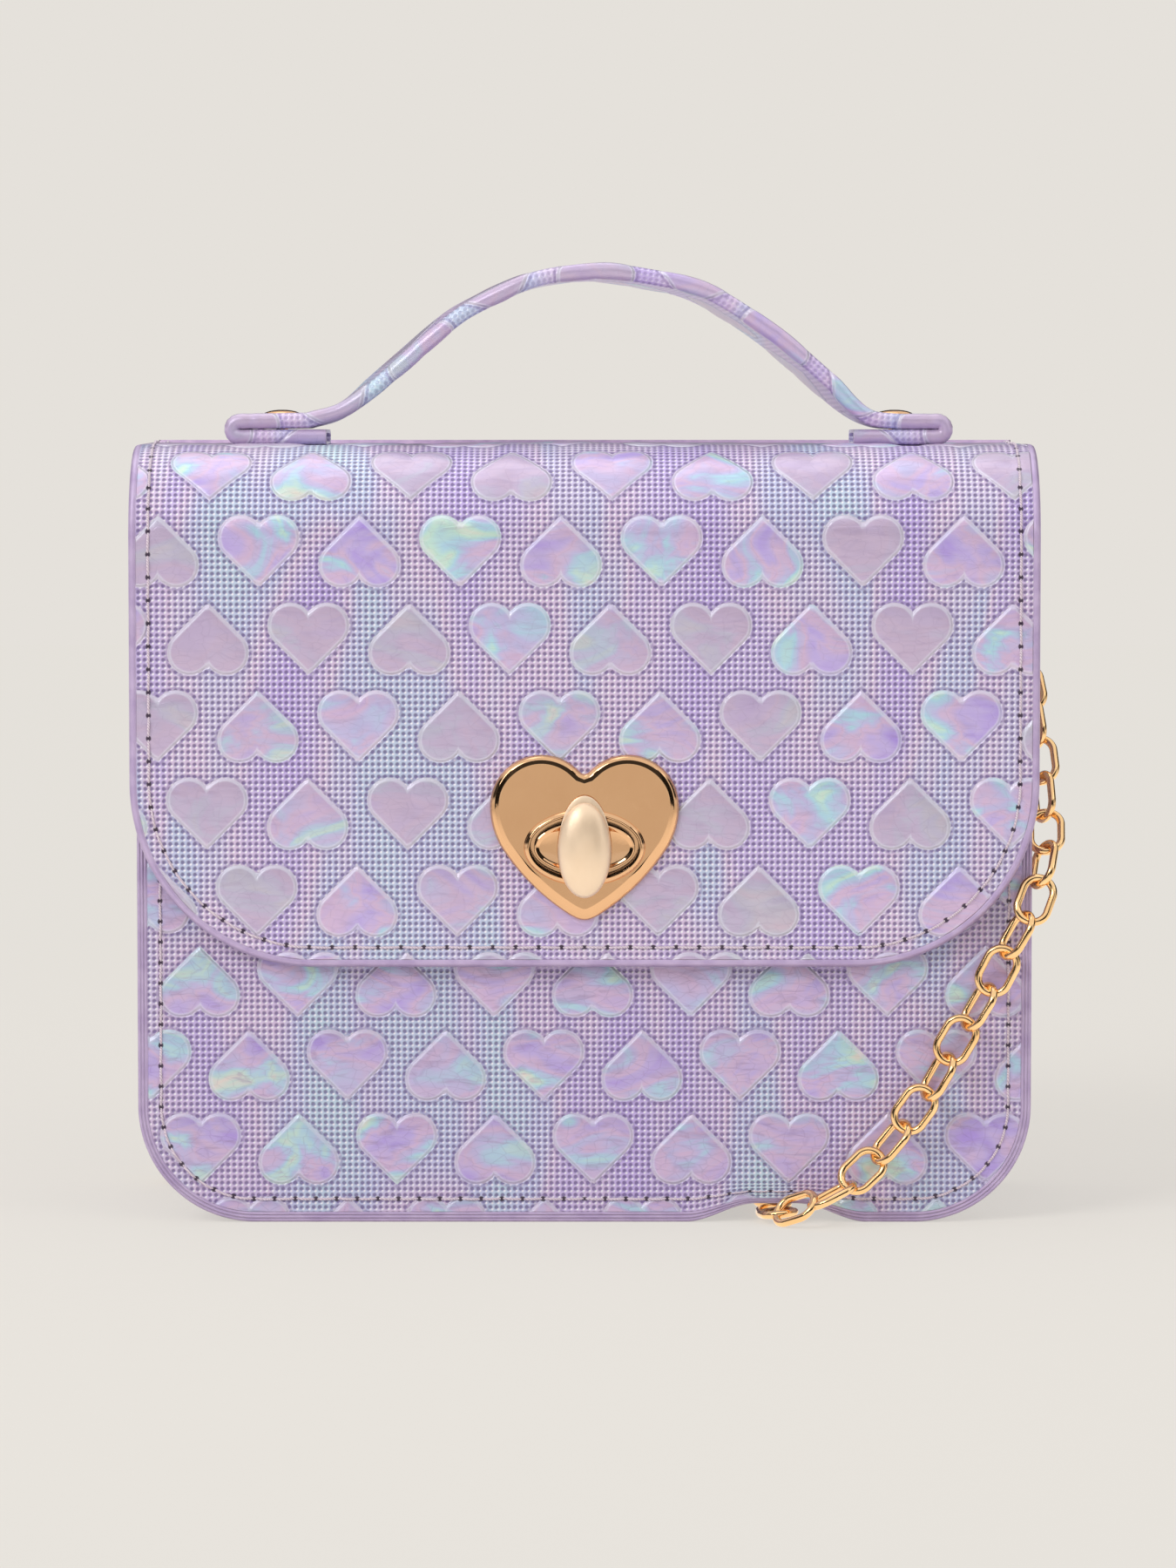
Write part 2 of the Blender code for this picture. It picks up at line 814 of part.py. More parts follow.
def make_side_rings():
    """Make the two leather tabs, their rivets and the D-rings in them."""
    for word, side in (("left", -1), ("right", 1)):
        bar = (ring_bar_x, ring_bar_height)
        loop = arc(bar, tab_loop_radius, tab_loop_start, tab_loop_end, tab_loop_steps)
        fold_top = ring_bar_height + tab_fold_height
        outer_x = tab_inner_x + 2 * tab_layer
        outline = [(tab_inner_x, tab_top), *loop, (outer_x, fold_top), (outer_x, tab_top)]
        hole = ellipse(ring_wire_radius + gap, ring_wire_radius + gap, 16, bar)
        loops = [[(side * x, z) for x, z in shape] for shape in (outline, hole)]
        tab = facing_plate(f"d_tab_{word}", loops, 0, tab_width, leather)
        tab.location.y = middle_y
        tab = to_mesh(tab)
        rivet_hole = rivet_hole_cutter(
            f"tab_rivet_hole_{word}",
            (side * outer_x, middle_y, tab_rivet_height),
            (0, math.pi / 2, 0),
        )
        apply_boolean(tab, rivet_hole, "DIFFERENCE")
        profile = rivet_profile(
            tab_rivet_head_shares,
            tab_rivet_head_radius,
            tab_rivet_head_height,
            outer_x + gap,
            web_inner_x + gap,
        )
        rivet = turned(f"tab_rivet_{word}", profile, gold, steps=20)
        rivet.rotation_euler = (0, side * math.pi / 2, 0)
        rivet.location = (0, middle_y, tab_rivet_height)
        ring = tube(
            f"d_ring_{word}", d_ring_points(side), 2 * ring_wire_radius, gold, closed=True
        )
        set_origin(ring, (side * ring_bar_x, middle_y, ring_bar_height))


def set_origin(item, place):
    """Move a curve's origin onto its joint axis and keep its shape in place."""
    item.data.transform(Matrix.Translation(-Vector(place)))
    item.location = place


def spline_through(points, spacing):
    """Return evenly spaced points of a smooth curve through given points."""
    given = np.array(points, dtype=float)
    before = 2 * given[0] - given[1]
    after = 2 * given[-1] - given[-2]
    knots = np.vstack([before, given, after])
    dense = []
    for index in range(1, len(knots) - 2):
        p0, p1, p2, p3 = knots[index - 1 : index + 3]
        for share in np.linspace(0, 1, 24, endpoint=False):
            square = share * share
            cube = square * share
            dense.append(
                0.5
                * (
                    2 * p1
                    + (p2 - p0) * share
                    + (2 * p0 - 5 * p1 + 4 * p2 - p3) * square
                    + (3 * p1 - p0 - 3 * p2 + p3) * cube
                )
            )
    dense.append(given[-1])
    line = np.array(dense)
    steps = np.linalg.norm(np.diff(line, axis=0), axis=1)
    travelled = np.concatenate([[0], np.cumsum(steps)])
    count = max(2, round(travelled[-1] / spacing) + 1)
    wanted = np.linspace(0, travelled[-1], count)
    return np.stack([np.interp(wanted, travelled, line[:, axis]) for axis in range(3)], axis=1)


def arc_lengths(line):
    """Return the distance along a line at each of its points."""
    steps = np.linalg.norm(np.diff(line, axis=0), axis=1)
    return np.concatenate([[0], np.cumsum(steps)])


def along(line, distance):
    """Return the point at a distance along a line."""
    lengths = arc_lengths(line)
    return np.array([np.interp(distance, lengths, line[:, axis]) for axis in range(3)])


def stretch(line, start, end, diameter):
    """Return points of the part of a line between two distances, ends squared."""
    lead = diameter / 2
    count = max(2, round((end - start) / (tube_spacing_share * diameter)) + 1)
    inner = np.linspace(start + lead, end - lead, count)
    return [tuple(along(line, distance)) for distance in (start, *inner, end)]


def link_loop(half_length):
    """Return the flat centre line of one oval link as (along, across) points."""
    straight = half_length - link_half_width
    quarter = math.pi / 2
    front = arc((straight, 0), link_half_width, quarter, -quarter, link_end_steps)
    back = arc((-straight, 0), link_half_width, -quarter, -3 * quarter, link_end_steps)
    return [*front, *back]


def link_frame(line, index):
    """Return the centre, the direction and the flat side's direction of a link."""
    centre = along(line, index * link_pitch)
    ahead = along(line, (index + 0.5) * link_pitch)
    behind = along(line, max(0, (index - 0.5) * link_pitch))
    direction = (ahead - behind) / np.linalg.norm(ahead - behind)
    outward = np.array([0, -1, 0]) + direction * direction[1]
    outward /= np.linalg.norm(outward)
    upward = np.cross(direction, outward)
    down_share = (index - (drop_link_count - 1 - floor_links)) / floor_links
    down_share = min(1, max(0, down_share))
    middle = hanging_roll + (math.pi / 2 - hanging_roll) * down_share
    spread = hanging_roll + (floor_roll - hanging_roll) * down_share
    roll = middle - spread if index % 2 == 0 else middle + spread
    normal = math.cos(roll) * outward + math.sin(roll) * upward
    return centre, direction, normal


def make_links(name, line, indices):
    """Make every link of the given places as one mesh of separate rings."""
    half_length = (link_pitch + link_wire - link_overlap) / 2
    wire = bpy.data.curves.new(name, "CURVE")
    wire.dimensions = "3D"
    wire.bevel_depth = link_wire / 2
    wire.bevel_resolution = 1
    for index in indices:
        centre, direction, normal = link_frame(line, index)
        side = np.cross(normal, direction)
        loop = link_loop(half_length)
        spline = wire.splines.new("POLY")
        spline.points.add(len(loop) - 1)
        for point, (forward, across) in zip(spline.points, loop):
            point.co = (*(centre + forward * direction + across * side), 1)
        spline.use_cyclic_u = True
    return to_mesh(add_object(name, wire, gold))


def coil_points():
    """Return the centre line of the two-layer coil behind the bag."""
    turns = 2 * coil_turns_per_layer + 0.5
    middle = turns / 2
    inner = coil_radius - coil_spacing * middle
    low = chain_diameter / 2 + chain_floor_gap
    climb_start = float(coil_turns_per_layer)
    points = []
    for index in range(round(turns * coil_points_per_turn) + 1):
        turn = index / coil_points_per_turn
        radius = inner + coil_spacing * abs(turn - middle)
        share = min(1, max(0, (turn - climb_start) / 0.5))
        height = low + coil_spacing * share * share * (3 - 2 * share)
        angle = math.tau * turn
        x = coil_centre[0] + radius * math.cos(angle)
        y = coil_centre[1] + radius * math.sin(angle)
        points.append((x, y, height))
    first = points[0]
    last = points[-1]
    start = (first[0], first[1] - chain_diameter, first[2])
    end = (last[0], last[1] - chain_diameter, last[2])
    return [start, *points, end]


def least_gap(points, diameter):
    """Return the least distance between a coil's surface and itself."""
    line = np.array(points)
    lengths = arc_lengths(line)
    between = np.linalg.norm(line[:, None, :] - line[None, :, :], axis=2)
    apart = np.abs(lengths[:, None] - lengths[None, :])
    return float(between[apart > 3 * diameter].min() - diameter)


def make_chain():
    """Make the strap chain: links in sight, then plain tubes and a coil."""
    line = spline_through(drop_route_points, link_wire)
    chain = make_links("chain_drop", line, range(0, drop_link_count, 2))
    odd_links = make_links("odd_links", line, range(1, drop_link_count, 2))
    apply_boolean(chain, make_cutter(odd_links), "UNION")

    coil = coil_points()
    half_length = (link_pitch + link_wire - link_overlap) / 2
    run_start = (drop_link_count - 1) * link_pitch + half_length + link_wire
    lengths = arc_lengths(line)
    coil_start = np.array(coil[0])
    nearest = int(np.argmin(np.linalg.norm(line - coil_start, axis=1)))
    run_end = lengths[nearest] - gap - link_wire
    run = stretch(line, run_start, run_end, under_chain_diameter)
    tube("chain_run", run, under_chain_diameter, gold)

    tube("chain_coil", coil, chain_diameter, gold, detail=1)
    print("least gap of the coil to itself, mm:", round(least_gap(coil, chain_diameter) * 1000, 2))

    rise_line = spline_through(rise_route_points, link_wire)
    rise_lengths = arc_lengths(rise_line)
    rise_start = chain_diameter + gap
    rise = stretch(rise_line, rise_start, rise_lengths[-1], chain_diameter)
    tube("chain_rise", rise, chain_diameter, gold)
    whole = run_end + arc_lengths(np.array(coil))[-1] + rise_lengths[-1] - rise_start
    print("whole chain, m:", round(whole, 3))


def make_handle():
    """Make the arched strap, folded under itself at both ends, and its rivets."""
    arch = [(x, 0, upper_layer_middle + rise) for x, rise in handle_arch_points]
    arch_line = spline_through(arch, handle_point_spacing)
    fold_radius = (upper_layer_middle - under_layer_middle) / 2
    fold_z = (upper_layer_middle + under_layer_middle) / 2
    left_centre = (handle_fold_left_x, fold_z)
    right_centre = (handle_fold_right_x, fold_z)
    left_fold = arc(left_centre, fold_radius, math.pi * 1.5, math.pi / 2, fold_steps)
    right_fold = arc(right_centre, fold_radius, math.pi / 2, -math.pi / 2, fold_steps)
    middle = [(handle_cut_left_x, under_layer_middle), *left_fold]
    middle.extend((float(x), float(z)) for x, _, z in arch_line)
    middle.extend([*right_fold, (handle_cut_right_x, under_layer_middle)])
    line = np.array(middle)
    steps = np.gradient(line, axis=0)
    steps[0] = line[1] - line[0]
    steps[-1] = line[-1] - line[-2]
    steps /= np.linalg.norm(steps, axis=1)[:, None]
    normals = np.stack([-steps[:, 1], steps[:, 0]], axis=1)
    outer = line + normals * handle_thickness / 2
    inner = line - normals * handle_thickness / 2
    outline = [tuple(point) for point in outer] + [tuple(point) for point in inner[::-1]]
    strap = facing_plate("handle_strap", [outline], 0, handle_width, leather)
    strap.location.y = handle_y
    strap = to_mesh(strap)
    for word, x in (("left", handle_rivet_left_x), ("right", handle_rivet_right_x)):
        hole = rivet_hole_cutter(
            f"strap_rivet_hole_{word}", (x, handle_y, upper_layer_middle), (0, 0, 0)
        )
        apply_boolean(strap, hole, "DIFFERENCE")
        profile = rivet_profile(
            rivet_head_shares,
            rivet_head_radius,
            rivet_head_height,
            strap_top + gap,
            rivet_back_top - rivet_back_thickness + gap,
        )
        cap = turned(f"rivet_cap_{word}", profile, gold, steps=24)
        cap.location = (x, handle_y, 0)
        back = turned(
            f"rivet_back_{word}",
            washer_profile(
                rivet_post_radius + rivet_clearance,
                rivet_back_radius,
                rivet_back_top - rivet_back_thickness,
                rivet_back_top,
            ),
            gold,
            steps=24,
        )
        back.location = (x, handle_y, 0)


make_panels()
make_gusset()
make_lining()
make_roof("flap_roof", 0, flap_leather_thickness, 0, leather)
make_roof(
    "flap_roof_lining",
    flap_leather_thickness + gap,
    flap_lining_thickness,
    flap_lining_margin,
    leather_back,
)
make_front(
    "flap_front",
    0,
    flap_leather_thickness,
    0,
    leather,
    (slot_half_width + leather_slot_margin, slot_half_height + leather_slot_margin),
)
make_front(
    "flap_front_lining",
    flap_leather_thickness + gap,
    flap_lining_thickness,
    flap_lining_margin,
    leather_back,
    (backing_half_width + gap, backing_half_height + gap),
)
make_lock()
make_side_rings()
make_chain()
make_handle()
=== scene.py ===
"""Dresses the satchel: pearly embossed leather, rose-gold fittings and a real link chain."""

import logging
import math
from collections.abc import Callable, Sequence
from dataclasses import dataclass
from enum import Enum

import bmesh
import bpy
import numpy as np
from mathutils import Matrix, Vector


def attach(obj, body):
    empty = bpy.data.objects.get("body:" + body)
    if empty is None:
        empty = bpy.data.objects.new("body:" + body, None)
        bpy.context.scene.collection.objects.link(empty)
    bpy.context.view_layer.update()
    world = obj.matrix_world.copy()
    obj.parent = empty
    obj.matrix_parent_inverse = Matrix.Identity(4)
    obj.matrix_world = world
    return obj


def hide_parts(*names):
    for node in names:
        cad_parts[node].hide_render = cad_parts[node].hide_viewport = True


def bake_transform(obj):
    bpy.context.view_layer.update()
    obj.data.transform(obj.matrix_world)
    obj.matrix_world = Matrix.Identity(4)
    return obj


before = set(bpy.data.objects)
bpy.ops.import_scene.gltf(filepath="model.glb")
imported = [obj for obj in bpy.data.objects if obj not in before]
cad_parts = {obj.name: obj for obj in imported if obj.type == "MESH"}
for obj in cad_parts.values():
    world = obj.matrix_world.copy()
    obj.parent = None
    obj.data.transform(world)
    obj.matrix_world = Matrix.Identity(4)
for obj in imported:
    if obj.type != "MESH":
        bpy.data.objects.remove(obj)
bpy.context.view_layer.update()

log = logging.getLogger("satchel")

Point = tuple[float, float, float]
Colour = tuple[int, int, int]
Stops = Sequence[tuple[float, Colour | float]]

# Places that part.py fixes, in metres.
FRONT_Y = -0.0237
BACK_Y = 0.0343
FLAP_FACE_Y = -0.0276
MIDDLE_Y = 0.0053
PANEL_HALF_WIDTH = 0.0842
FLAP_HALF_WIDTH = 0.0852
LOCK_HEIGHT = 0.0713
BEND_CENTRE_Y = -0.0096
BEND_CENTRE_Z = 0.1285
BEND_RADIUS = 0.0180
ROOF_BACK_Y = 0.0324

# The UV map that holds places on the flat leather, and how many millimetres it spans.
FLAT_MAP = "flat"
FLAT_MAP_SIZE = 200.0


def linear(colour: Colour) -> tuple[float, float, float, float]:
    """Turn a colour as it looks on screen into the shader's linear values.

    Args:
        colour: red, green and blue from 0 to 255.

    Returns:
        The linear colour with full alpha.
    """
    shares = [value / 255 for value in colour]
    values = [s / 12.92 if s <= 0.04045 else ((s + 0.055) / 1.055) ** 2.4 for s in shares]
    return (values[0], values[1], values[2], 1.0)


class Signal:
    """A shader value; ordinary sums on it add Math nodes."""

    def __init__(self, shader: "Shader", socket: bpy.types.NodeSocket) -> None:
        """Keep the socket and the shader that it belongs to."""
        self.shader = shader
        self.socket = socket

    def math(self, operation: str, *others: "Signal | float") -> "Signal":
        """Add one Math node.

        Args:
            operation: the Math node's operation.
            others: its further inputs.

        Returns:
            The node's result.
        """
        inputs = dict(enumerate((self, *others)))
        return self.shader.node("ShaderNodeMath", inputs, operation=operation)

    def __add__(self, other: "Signal | float") -> "Signal":
        """Return the sum."""
        return self.math("ADD", other)

    __radd__ = __add__

    def __sub__(self, other: "Signal | float") -> "Signal":
        """Return the difference."""
        return self.math("SUBTRACT", other)

    def __rsub__(self, other: float) -> "Signal":
        """Return a number less this value."""
        return self.shader.node("ShaderNodeMath", {0: other, 1: self}, operation="SUBTRACT")

    def __mul__(self, other: "Signal | float") -> "Signal":
        """Return the product."""
        return self.math("MULTIPLY", other)

    __rmul__ = __mul__

    def __truediv__(self, other: "Signal | float") -> "Signal":
        """Return the quotient."""
        return self.math("DIVIDE", other)

    def step(self, low: float, high: float) -> "Signal":
        """Rise smoothly from 0 at low to 1 at high; high may be the smaller one.

        Args:
            low: the value that gives 0.
            high: the value that gives 1.

        Returns:
            The smooth step.
        """
        share = (self - low) * (1 / (high - low))
        share = share.math("MAXIMUM", 0.0).math("MINIMUM", 1.0)
        return share * share * (3 - 2 * share)

    def band(self, centre: float, half: float, soft: float) -> "Signal":
        """Return 1 within half of a centre value, fading over a soft width."""
        return (self - centre).math("ABSOLUTE").step(half + soft, half)


class Shader:
    """One procedural material, or the world, built node by node."""

    def __init__(self, name: str, world: bool = False) -> None:
        """Start an empty material or world of that name."""
        self.made = (bpy.data.worlds if world else bpy.data.materials).new(name)
        self.made.use_nodes = True
        self.output = "ShaderNodeOutputWorld" if world else "ShaderNodeOutputMaterial"
        self.tree = self.made.node_tree
        self.tree.nodes.clear()

    def node(
        self,
        kind: str,
        inputs: dict[int | str, object] | None = None,
        output: int | str = 0,
        stops: Stops = (),
        **settings: object,
    ) -> Signal:
        """Add a node of any type.

        Args:
            kind: the node's type name.
            inputs: numbers, colours or signals by socket.
            output: the socket to read.
            stops: a colour ramp's stops.
            settings: the node's own settings, set before its inputs.

        Returns:
            The chosen output.
        """
        made = self.tree.nodes.new(kind)
        for key, value in settings.items():
            setattr(made, key, value)
        if stops:
            self._fill_ramp(made.color_ramp, stops)
        for key, value in (inputs or {}).items():
            if isinstance(value, Signal):
                self.tree.links.new(value.socket, made.inputs[key])
            else:
                made.inputs[key].default_value = value
        return Signal(self, made.outputs[output])

    @staticmethod
    def _fill_ramp(ramp: bpy.types.ColorRamp, stops: Stops) -> None:
        """Give a colour ramp its stops."""
        while len(ramp.elements) < len(stops):
            ramp.elements.new(1.0)
        for element, (place, value) in zip(ramp.elements, stops):
            element.position = place
            element.color = linear(value) if isinstance(value, tuple) else (value,) * 3 + (1.0,)

    def attribute(self, name: str) -> Signal:
        """Read a number that is stored on the mesh."""
        return self.node("ShaderNodeAttribute", output="Fac", attribute_name=name)

    def vector(self, x: object, y: object, z: object = 0.0) -> Signal:
        """Join three values to a vector."""
        return self.node("ShaderNodeCombineXYZ", {0: x, 1: y, 2: z})

    def split(self, vector: Signal) -> tuple[Signal, Signal, Signal]:
        """Return a vector's three parts."""
        made = self.node("ShaderNodeSeparateXYZ", {0: vector}).socket.node
        return tuple(Signal(self, made.outputs[index]) for index in range(3))

    def object_place(self) -> Signal:
        """Return the place on the object, in metres."""
        return self.node("ShaderNodeTexCoord", output="Object")

    def flat_place(self) -> tuple[Signal, Signal]:
        """Return the place on the flat leather, in millimetres."""
        across, along, _ = self.split(self.node("ShaderNodeUVMap", uv_map=FLAT_MAP))
        return across * FLAT_MAP_SIZE, along * FLAT_MAP_SIZE

    def noise(self, place: Signal, scale: float, detail: float = 2.0, **more: object) -> Signal:
        """Return smooth noise from 0 to 1 at a place."""
        inputs = {"Vector": place, "Scale": scale, "Detail": detail, **more}
        return self.node("ShaderNodeTexNoise", inputs, output="Fac")

    def mix(self, share: Signal | float, first: object, second: object) -> Signal:
        """Mix two colours.

        Args:
            share: 0 for the first, 1 for the second.
            first: a signal or a screen colour.
            second: a signal or a screen colour.

        Returns:
            The mixed colour.
        """
        first = linear(first) if isinstance(first, tuple) else first
        second = linear(second) if isinstance(second, tuple) else second
        inputs = {0: share, 6: first, 7: second}
        return self.node("ShaderNodeMix", inputs, output=2, data_type="RGBA")

    def ramp(self, value: Signal, stops: Stops) -> Signal:
        """Return the colour that a ramp gives to a value."""
        return self.node("ShaderNodeValToRGB", {0: value}, output="Color", stops=stops)

    def bump(self, height: Signal, distance: float, strength: float = 1.0) -> Signal:
        """Turn a height in millimetres into a normal; distance is one height unit in metres."""
        inputs = {"Height": height, "Distance": distance, "Strength": strength}
        return self.node("ShaderNodeBump", inputs, output="Normal")

    def finish(self, fixed: dict[str, float], varied: dict[str, Signal]) -> bpy.types.Material:
        """End the material in a Principled shader.

        Args:
            fixed: numbers that are the same all over.
            varied: signals for its other sockets.

        Returns:
            The finished material.
        """
        return self.close(self.node("ShaderNodeBsdfPrincipled", {**fixed, **varied}))

    def close(self, surface: Signal) -> bpy.types.Material | bpy.types.World:
        """Link a surface to the output and return what was made."""
        output = self.tree.nodes.new(self.output)
        self.tree.links.new(surface.socket, output.inputs["Surface"])
        return self.made


# The leather's colours, as they look on screen.
PEARL_WEAVE = (
    (0.30, (196, 174, 236)),
    (0.42, (206, 188, 234)),
    (0.50, (220, 198, 230)),
    (0.58, (198, 200, 236)),
    (0.70, (196, 220, 236)),
)
PEARL_HEARTS = (
    (0.26, (178, 152, 230)),
    (0.38, (196, 178, 230)),
    (0.46, (214, 186, 218)),
    (0.53, (196, 190, 230)),
    (0.60, (178, 216, 234)),
    (0.66, (198, 230, 218)),
    (0.76, (236, 222, 208)),
)
# Painted highlight on each weave bump, and painted shade in each pit of the weave.
WEAVE_PAINTED_HIGHLIGHT = (255, 252, 255)
WEAVE_PIT_PAINTED_SHADE = (86, 66, 126)
PLAIN_HEART = (196, 178, 204)
# Painted highlight just inside each heart's rim, and painted shade round its foot.
HEART_RIM_PAINTED_HIGHLIGHT = (232, 234, 248)
HEART_FOOT_PAINTED_SHADE = (120, 100, 158)
HEART_CRACK = (140, 120, 164)
HEART_WRINKLE = (160, 136, 174)
LEATHER_SHADE = (120, 96, 150)
LEATHER_PAINT = ((0.35, (182, 160, 202)), (0.65, (200, 180, 216)))
# Painted shade in the needle holes.
NEEDLE_HOLE_PAINTED_SHADE = (58, 40, 66)


@dataclass(frozen=True)
class Finish:
    """A surface finish, which becomes one material however often it is used."""

    name: str
    slot: str

    def material(self) -> bpy.types.Material:
        """Return the finish's material, made on first use."""
        return bpy.data.materials.get(self.name) or self.mixed(Shader(self.name))

    def mixed(self, shader: Shader) -> bpy.types.Material:
        """Build the nodes; each finish has its own."""
        raise NotImplementedError


@dataclass(frozen=True)
class EmbossedLeather(Finish):
    """Pearly lilac leather cloth with a square weave and smooth puffed hearts."""

    weave: float = 1.15
    rim_width: float = 1.4
    rim_count: int = 1
    seam_inset: float = 3.7
    seam_pitch: float = 4.3
    shade: float = 1.0
    plain: float = 0.8
    depth: float = 1.0
    streaks: float = 0.20

    def mixed(self, shader: Shader) -> bpy.types.Material:
        """Mix the leather's ground, hearts, painted edge and stitch holes, with painted highlights
        and painted shade.

        Args:
            shader: the empty shader to fill.

        Returns:
            The finished material.
        """
        across, along = shader.flat_place()
        heart = shader.attribute("heart_distance")
        edge = shader.attribute("edge_distance")
        place = shader.vector(across, along)
        in_heart = heart.step(0.18, -0.12)
        painted = edge.step(self.rim_width + 0.12, self.rim_width - 0.12)
        hole = self._holes(shader, edge)
        ground_high, ground = self._ground(shader, across, along, place)
        heart_high, hearts = self._hearts(shader, across, along, place, heart)
        colour = shader.mix(in_heart, ground, hearts)
        # Painted highlight just inside each heart's outline, and painted shade just outside it.
        painted_rim_highlight = heart.band(-0.30, 0.20, 0.35)
        colour = shader.mix(painted_rim_highlight * 0.45, colour, HEART_RIM_PAINTED_HIGHLIGHT)
        painted_foot_shade = heart.band(0.42, 0.10, 0.30)
        colour = shader.mix(painted_foot_shade * 0.45, colour, HEART_FOOT_PAINTED_SHADE)
        if self.shade < 1:
            colour = shader.mix(1 - self.shade, colour, LEATHER_SHADE)
        paint = shader.ramp(shader.noise(place, 0.25, 3.0), LEATHER_PAINT)
        colour = shader.mix(painted, colour, paint)
        # Painted shade in the needle holes.
        colour = shader.mix(hole, colour, NEEDLE_HOLE_PAINTED_SHADE)
        relief = ground_high * (1 - in_heart) + heart_high * in_heart
        ridge = self._rim_ridges(edge)
        relief = relief * (1 - painted) + ridge * painted - hole * 0.55
        rough = 0.36 - in_heart * 0.10 + painted * 0.10 + shader.noise(place, 0.35, 3.0) * 0.10
        normal = shader.bump(relief, 0.001, 0.85)
        fixed = {"Metallic": 0.18, "Coat Weight": 0.35, "Coat Roughness": 0.22}
        return shader.finish(fixed, {"Base Color": colour, "Roughness": rough, "Normal": normal})

    def _ground(
        self, shader: Shader, across: Signal, along: Signal, place: Signal
    ) -> tuple[Signal, Signal]:
        """Make the woven ground, with a painted highlight beside each pit and painted shade in the
        pits.
            across: flat place across, in millimetres.
            along: flat place along, in millimetres.
            place: both as a vector.

        Returns:
            The weave's height in millimetres and its colour.
        """
        jitter = shader.noise(place, 0.9, 2.0) * 0.10
        row = (along / self.weave + jitter).math("FRACT") - 0.5
        column = (across / self.weave - jitter).math("FRACT") - 0.5
        pit = (row * row + column * column).math("SQRT").step(0.46, 0.16)
        # A painted highlight beside each pit, offset as if lit from one side.
        high_row = (along / self.weave + 0.36).math("FRACT") - 0.5
        high_column = (across / self.weave - 0.36).math("FRACT") - 0.5
        painted_glint = (high_row * high_row + high_column * high_column).math("SQRT").step(0.30, 0.08)
        streaks = shader.vector(across * 0.050, along * 0.011)
        drift = shader.noise(streaks, 1.0, 2.0, Distortion=0.6)
        colour = shader.ramp(drift, PEARL_WEAVE)
        # Paint the highlight, and the shade in the pits, into the weave's colour.
        colour = shader.mix(painted_glint * (0.82 * self.depth), colour, WEAVE_PAINTED_HIGHLIGHT)
        colour = shader.mix(pit * (0.76 * self.depth), colour, WEAVE_PIT_PAINTED_SHADE)
        return (1 - pit) * (0.22 * self.depth), colour

    def _hearts(
        self, shader: Shader, across: Signal, along: Signal, place: Signal, heart: Signal
    ) -> tuple[Signal, Signal]:
        """Make the smooth hearts.

        Args:
            shader: the shader to add to.
            across: flat place across, in millimetres.
            along: flat place along, in millimetres.
            place: both as a vector.
            heart: the distance from the heart's outline, less than zero inside.

        Returns:
            Their height in millimetres and their colour.
        """
        tone = shader.attribute("heart_tone")
        wide = shader.vector(across * 0.06, along * 0.10, tone * 7.0)
        cloudy = shader.noise(wide, 1.0, 3.0, Distortion=1.1)
        colour = shader.ramp(cloudy, PEARL_HEARTS)
        plain = tone.step(0.15, 0.60) * self.plain
        grey = shader.mix(plain, colour, PLAIN_HEART)
        long = shader.vector(across * 0.16, along * 0.75)
        wrinkles = shader.noise(long, 1.0, 4.0, Distortion=0.8)
        cracks = shader.node(
            "ShaderNodeTexVoronoi",
            {"Vector": shader.vector(across * 0.34, along * 0.62), "Scale": 1.0, "Randomness": 0.8},
            output="Distance",
            feature="DISTANCE_TO_EDGE",
        )
        line = cracks.step(0.045, 0.0)
        colour = shader.mix(line * (self.streaks * 0.4 + 0.03), grey, HEART_CRACK)
        colour = shader.mix(wrinkles.step(0.52, 0.70) * self.streaks, colour, HEART_WRINKLE)
        shoulder = heart.step(0.05, -0.55)
        height = shoulder * 0.34 + (wrinkles * 0.10 - line * 0.02) * self.depth
        return height, colour

    def _rim_ridges(self, edge: Signal) -> Signal:
        """Return the height of the painted rim's rounded ridges."""
        turn = math.pi * self.rim_count / self.rim_width
        return (edge * turn).math("SINE").math("ABSOLUTE") * 0.30

    def _holes(self, shader: Shader, edge: Signal) -> Signal:
        """Return the mask of the needle holes along the seam."""
        run = shader.attribute("seam_run")
        place = ((run / self.seam_pitch).math("FRACT") - 0.5).math("ABSOLUTE")
        beside = (0.5 - place) * self.seam_pitch
        away = (edge - self.seam_inset).math("ABSOLUTE")
        reach = (beside * beside + away * away * 1.3).math("SQRT")
        return reach.step(0.62, 0.36) * run.step(-1.0, -0.5)


@dataclass(frozen=True)
class PaintedEdge(Finish):
    """The mauve paint that seals a cut leather edge."""

    tones: Stops = ((0.35, (196, 168, 206)), (0.65, (216, 190, 220)))

    def mixed(self, shader: Shader) -> bpy.types.Material:
        """Mix a satin paint with slow unevenness."""
        place = shader.object_place()
        uneven = shader.noise(place, 420.0, 3.0)
        colour = shader.ramp(uneven, self.tones)
        normal = shader.bump(uneven, 0.0002, 0.7)
        fixed = {"Coat Weight": 0.3, "Coat Roughness": 0.25}
        varied = {"Base Color": colour, "Roughness": 0.38 + uneven * 0.14, "Normal": normal}
        return shader.finish(fixed, varied)


@dataclass(frozen=True)
class Backing(Finish):
    """The brushed microfibre on the leather's hidden side."""

    colour: Colour = (178, 158, 194)

    def mixed(self, shader: Shader) -> bpy.types.Material:
        """Mix a dull, fine-haired cloth."""
        place = shader.object_place()
        hairs = shader.noise(place, 3000.0, 4.0)
        clouds = shader.noise(place, 60.0, 2.0)
        dark = tuple(round(value * 0.84) for value in self.colour)
        colour = shader.mix((hairs + clouds) * 0.5, self.colour, dark)
        normal = shader.bump(hairs, 0.0002, 0.8)
        varied = {"Base Color": colour, "Roughness": 0.8 + hairs * 0.15, "Normal": normal}
        return shader.finish({"Specular IOR Level": 0.2}, varied)


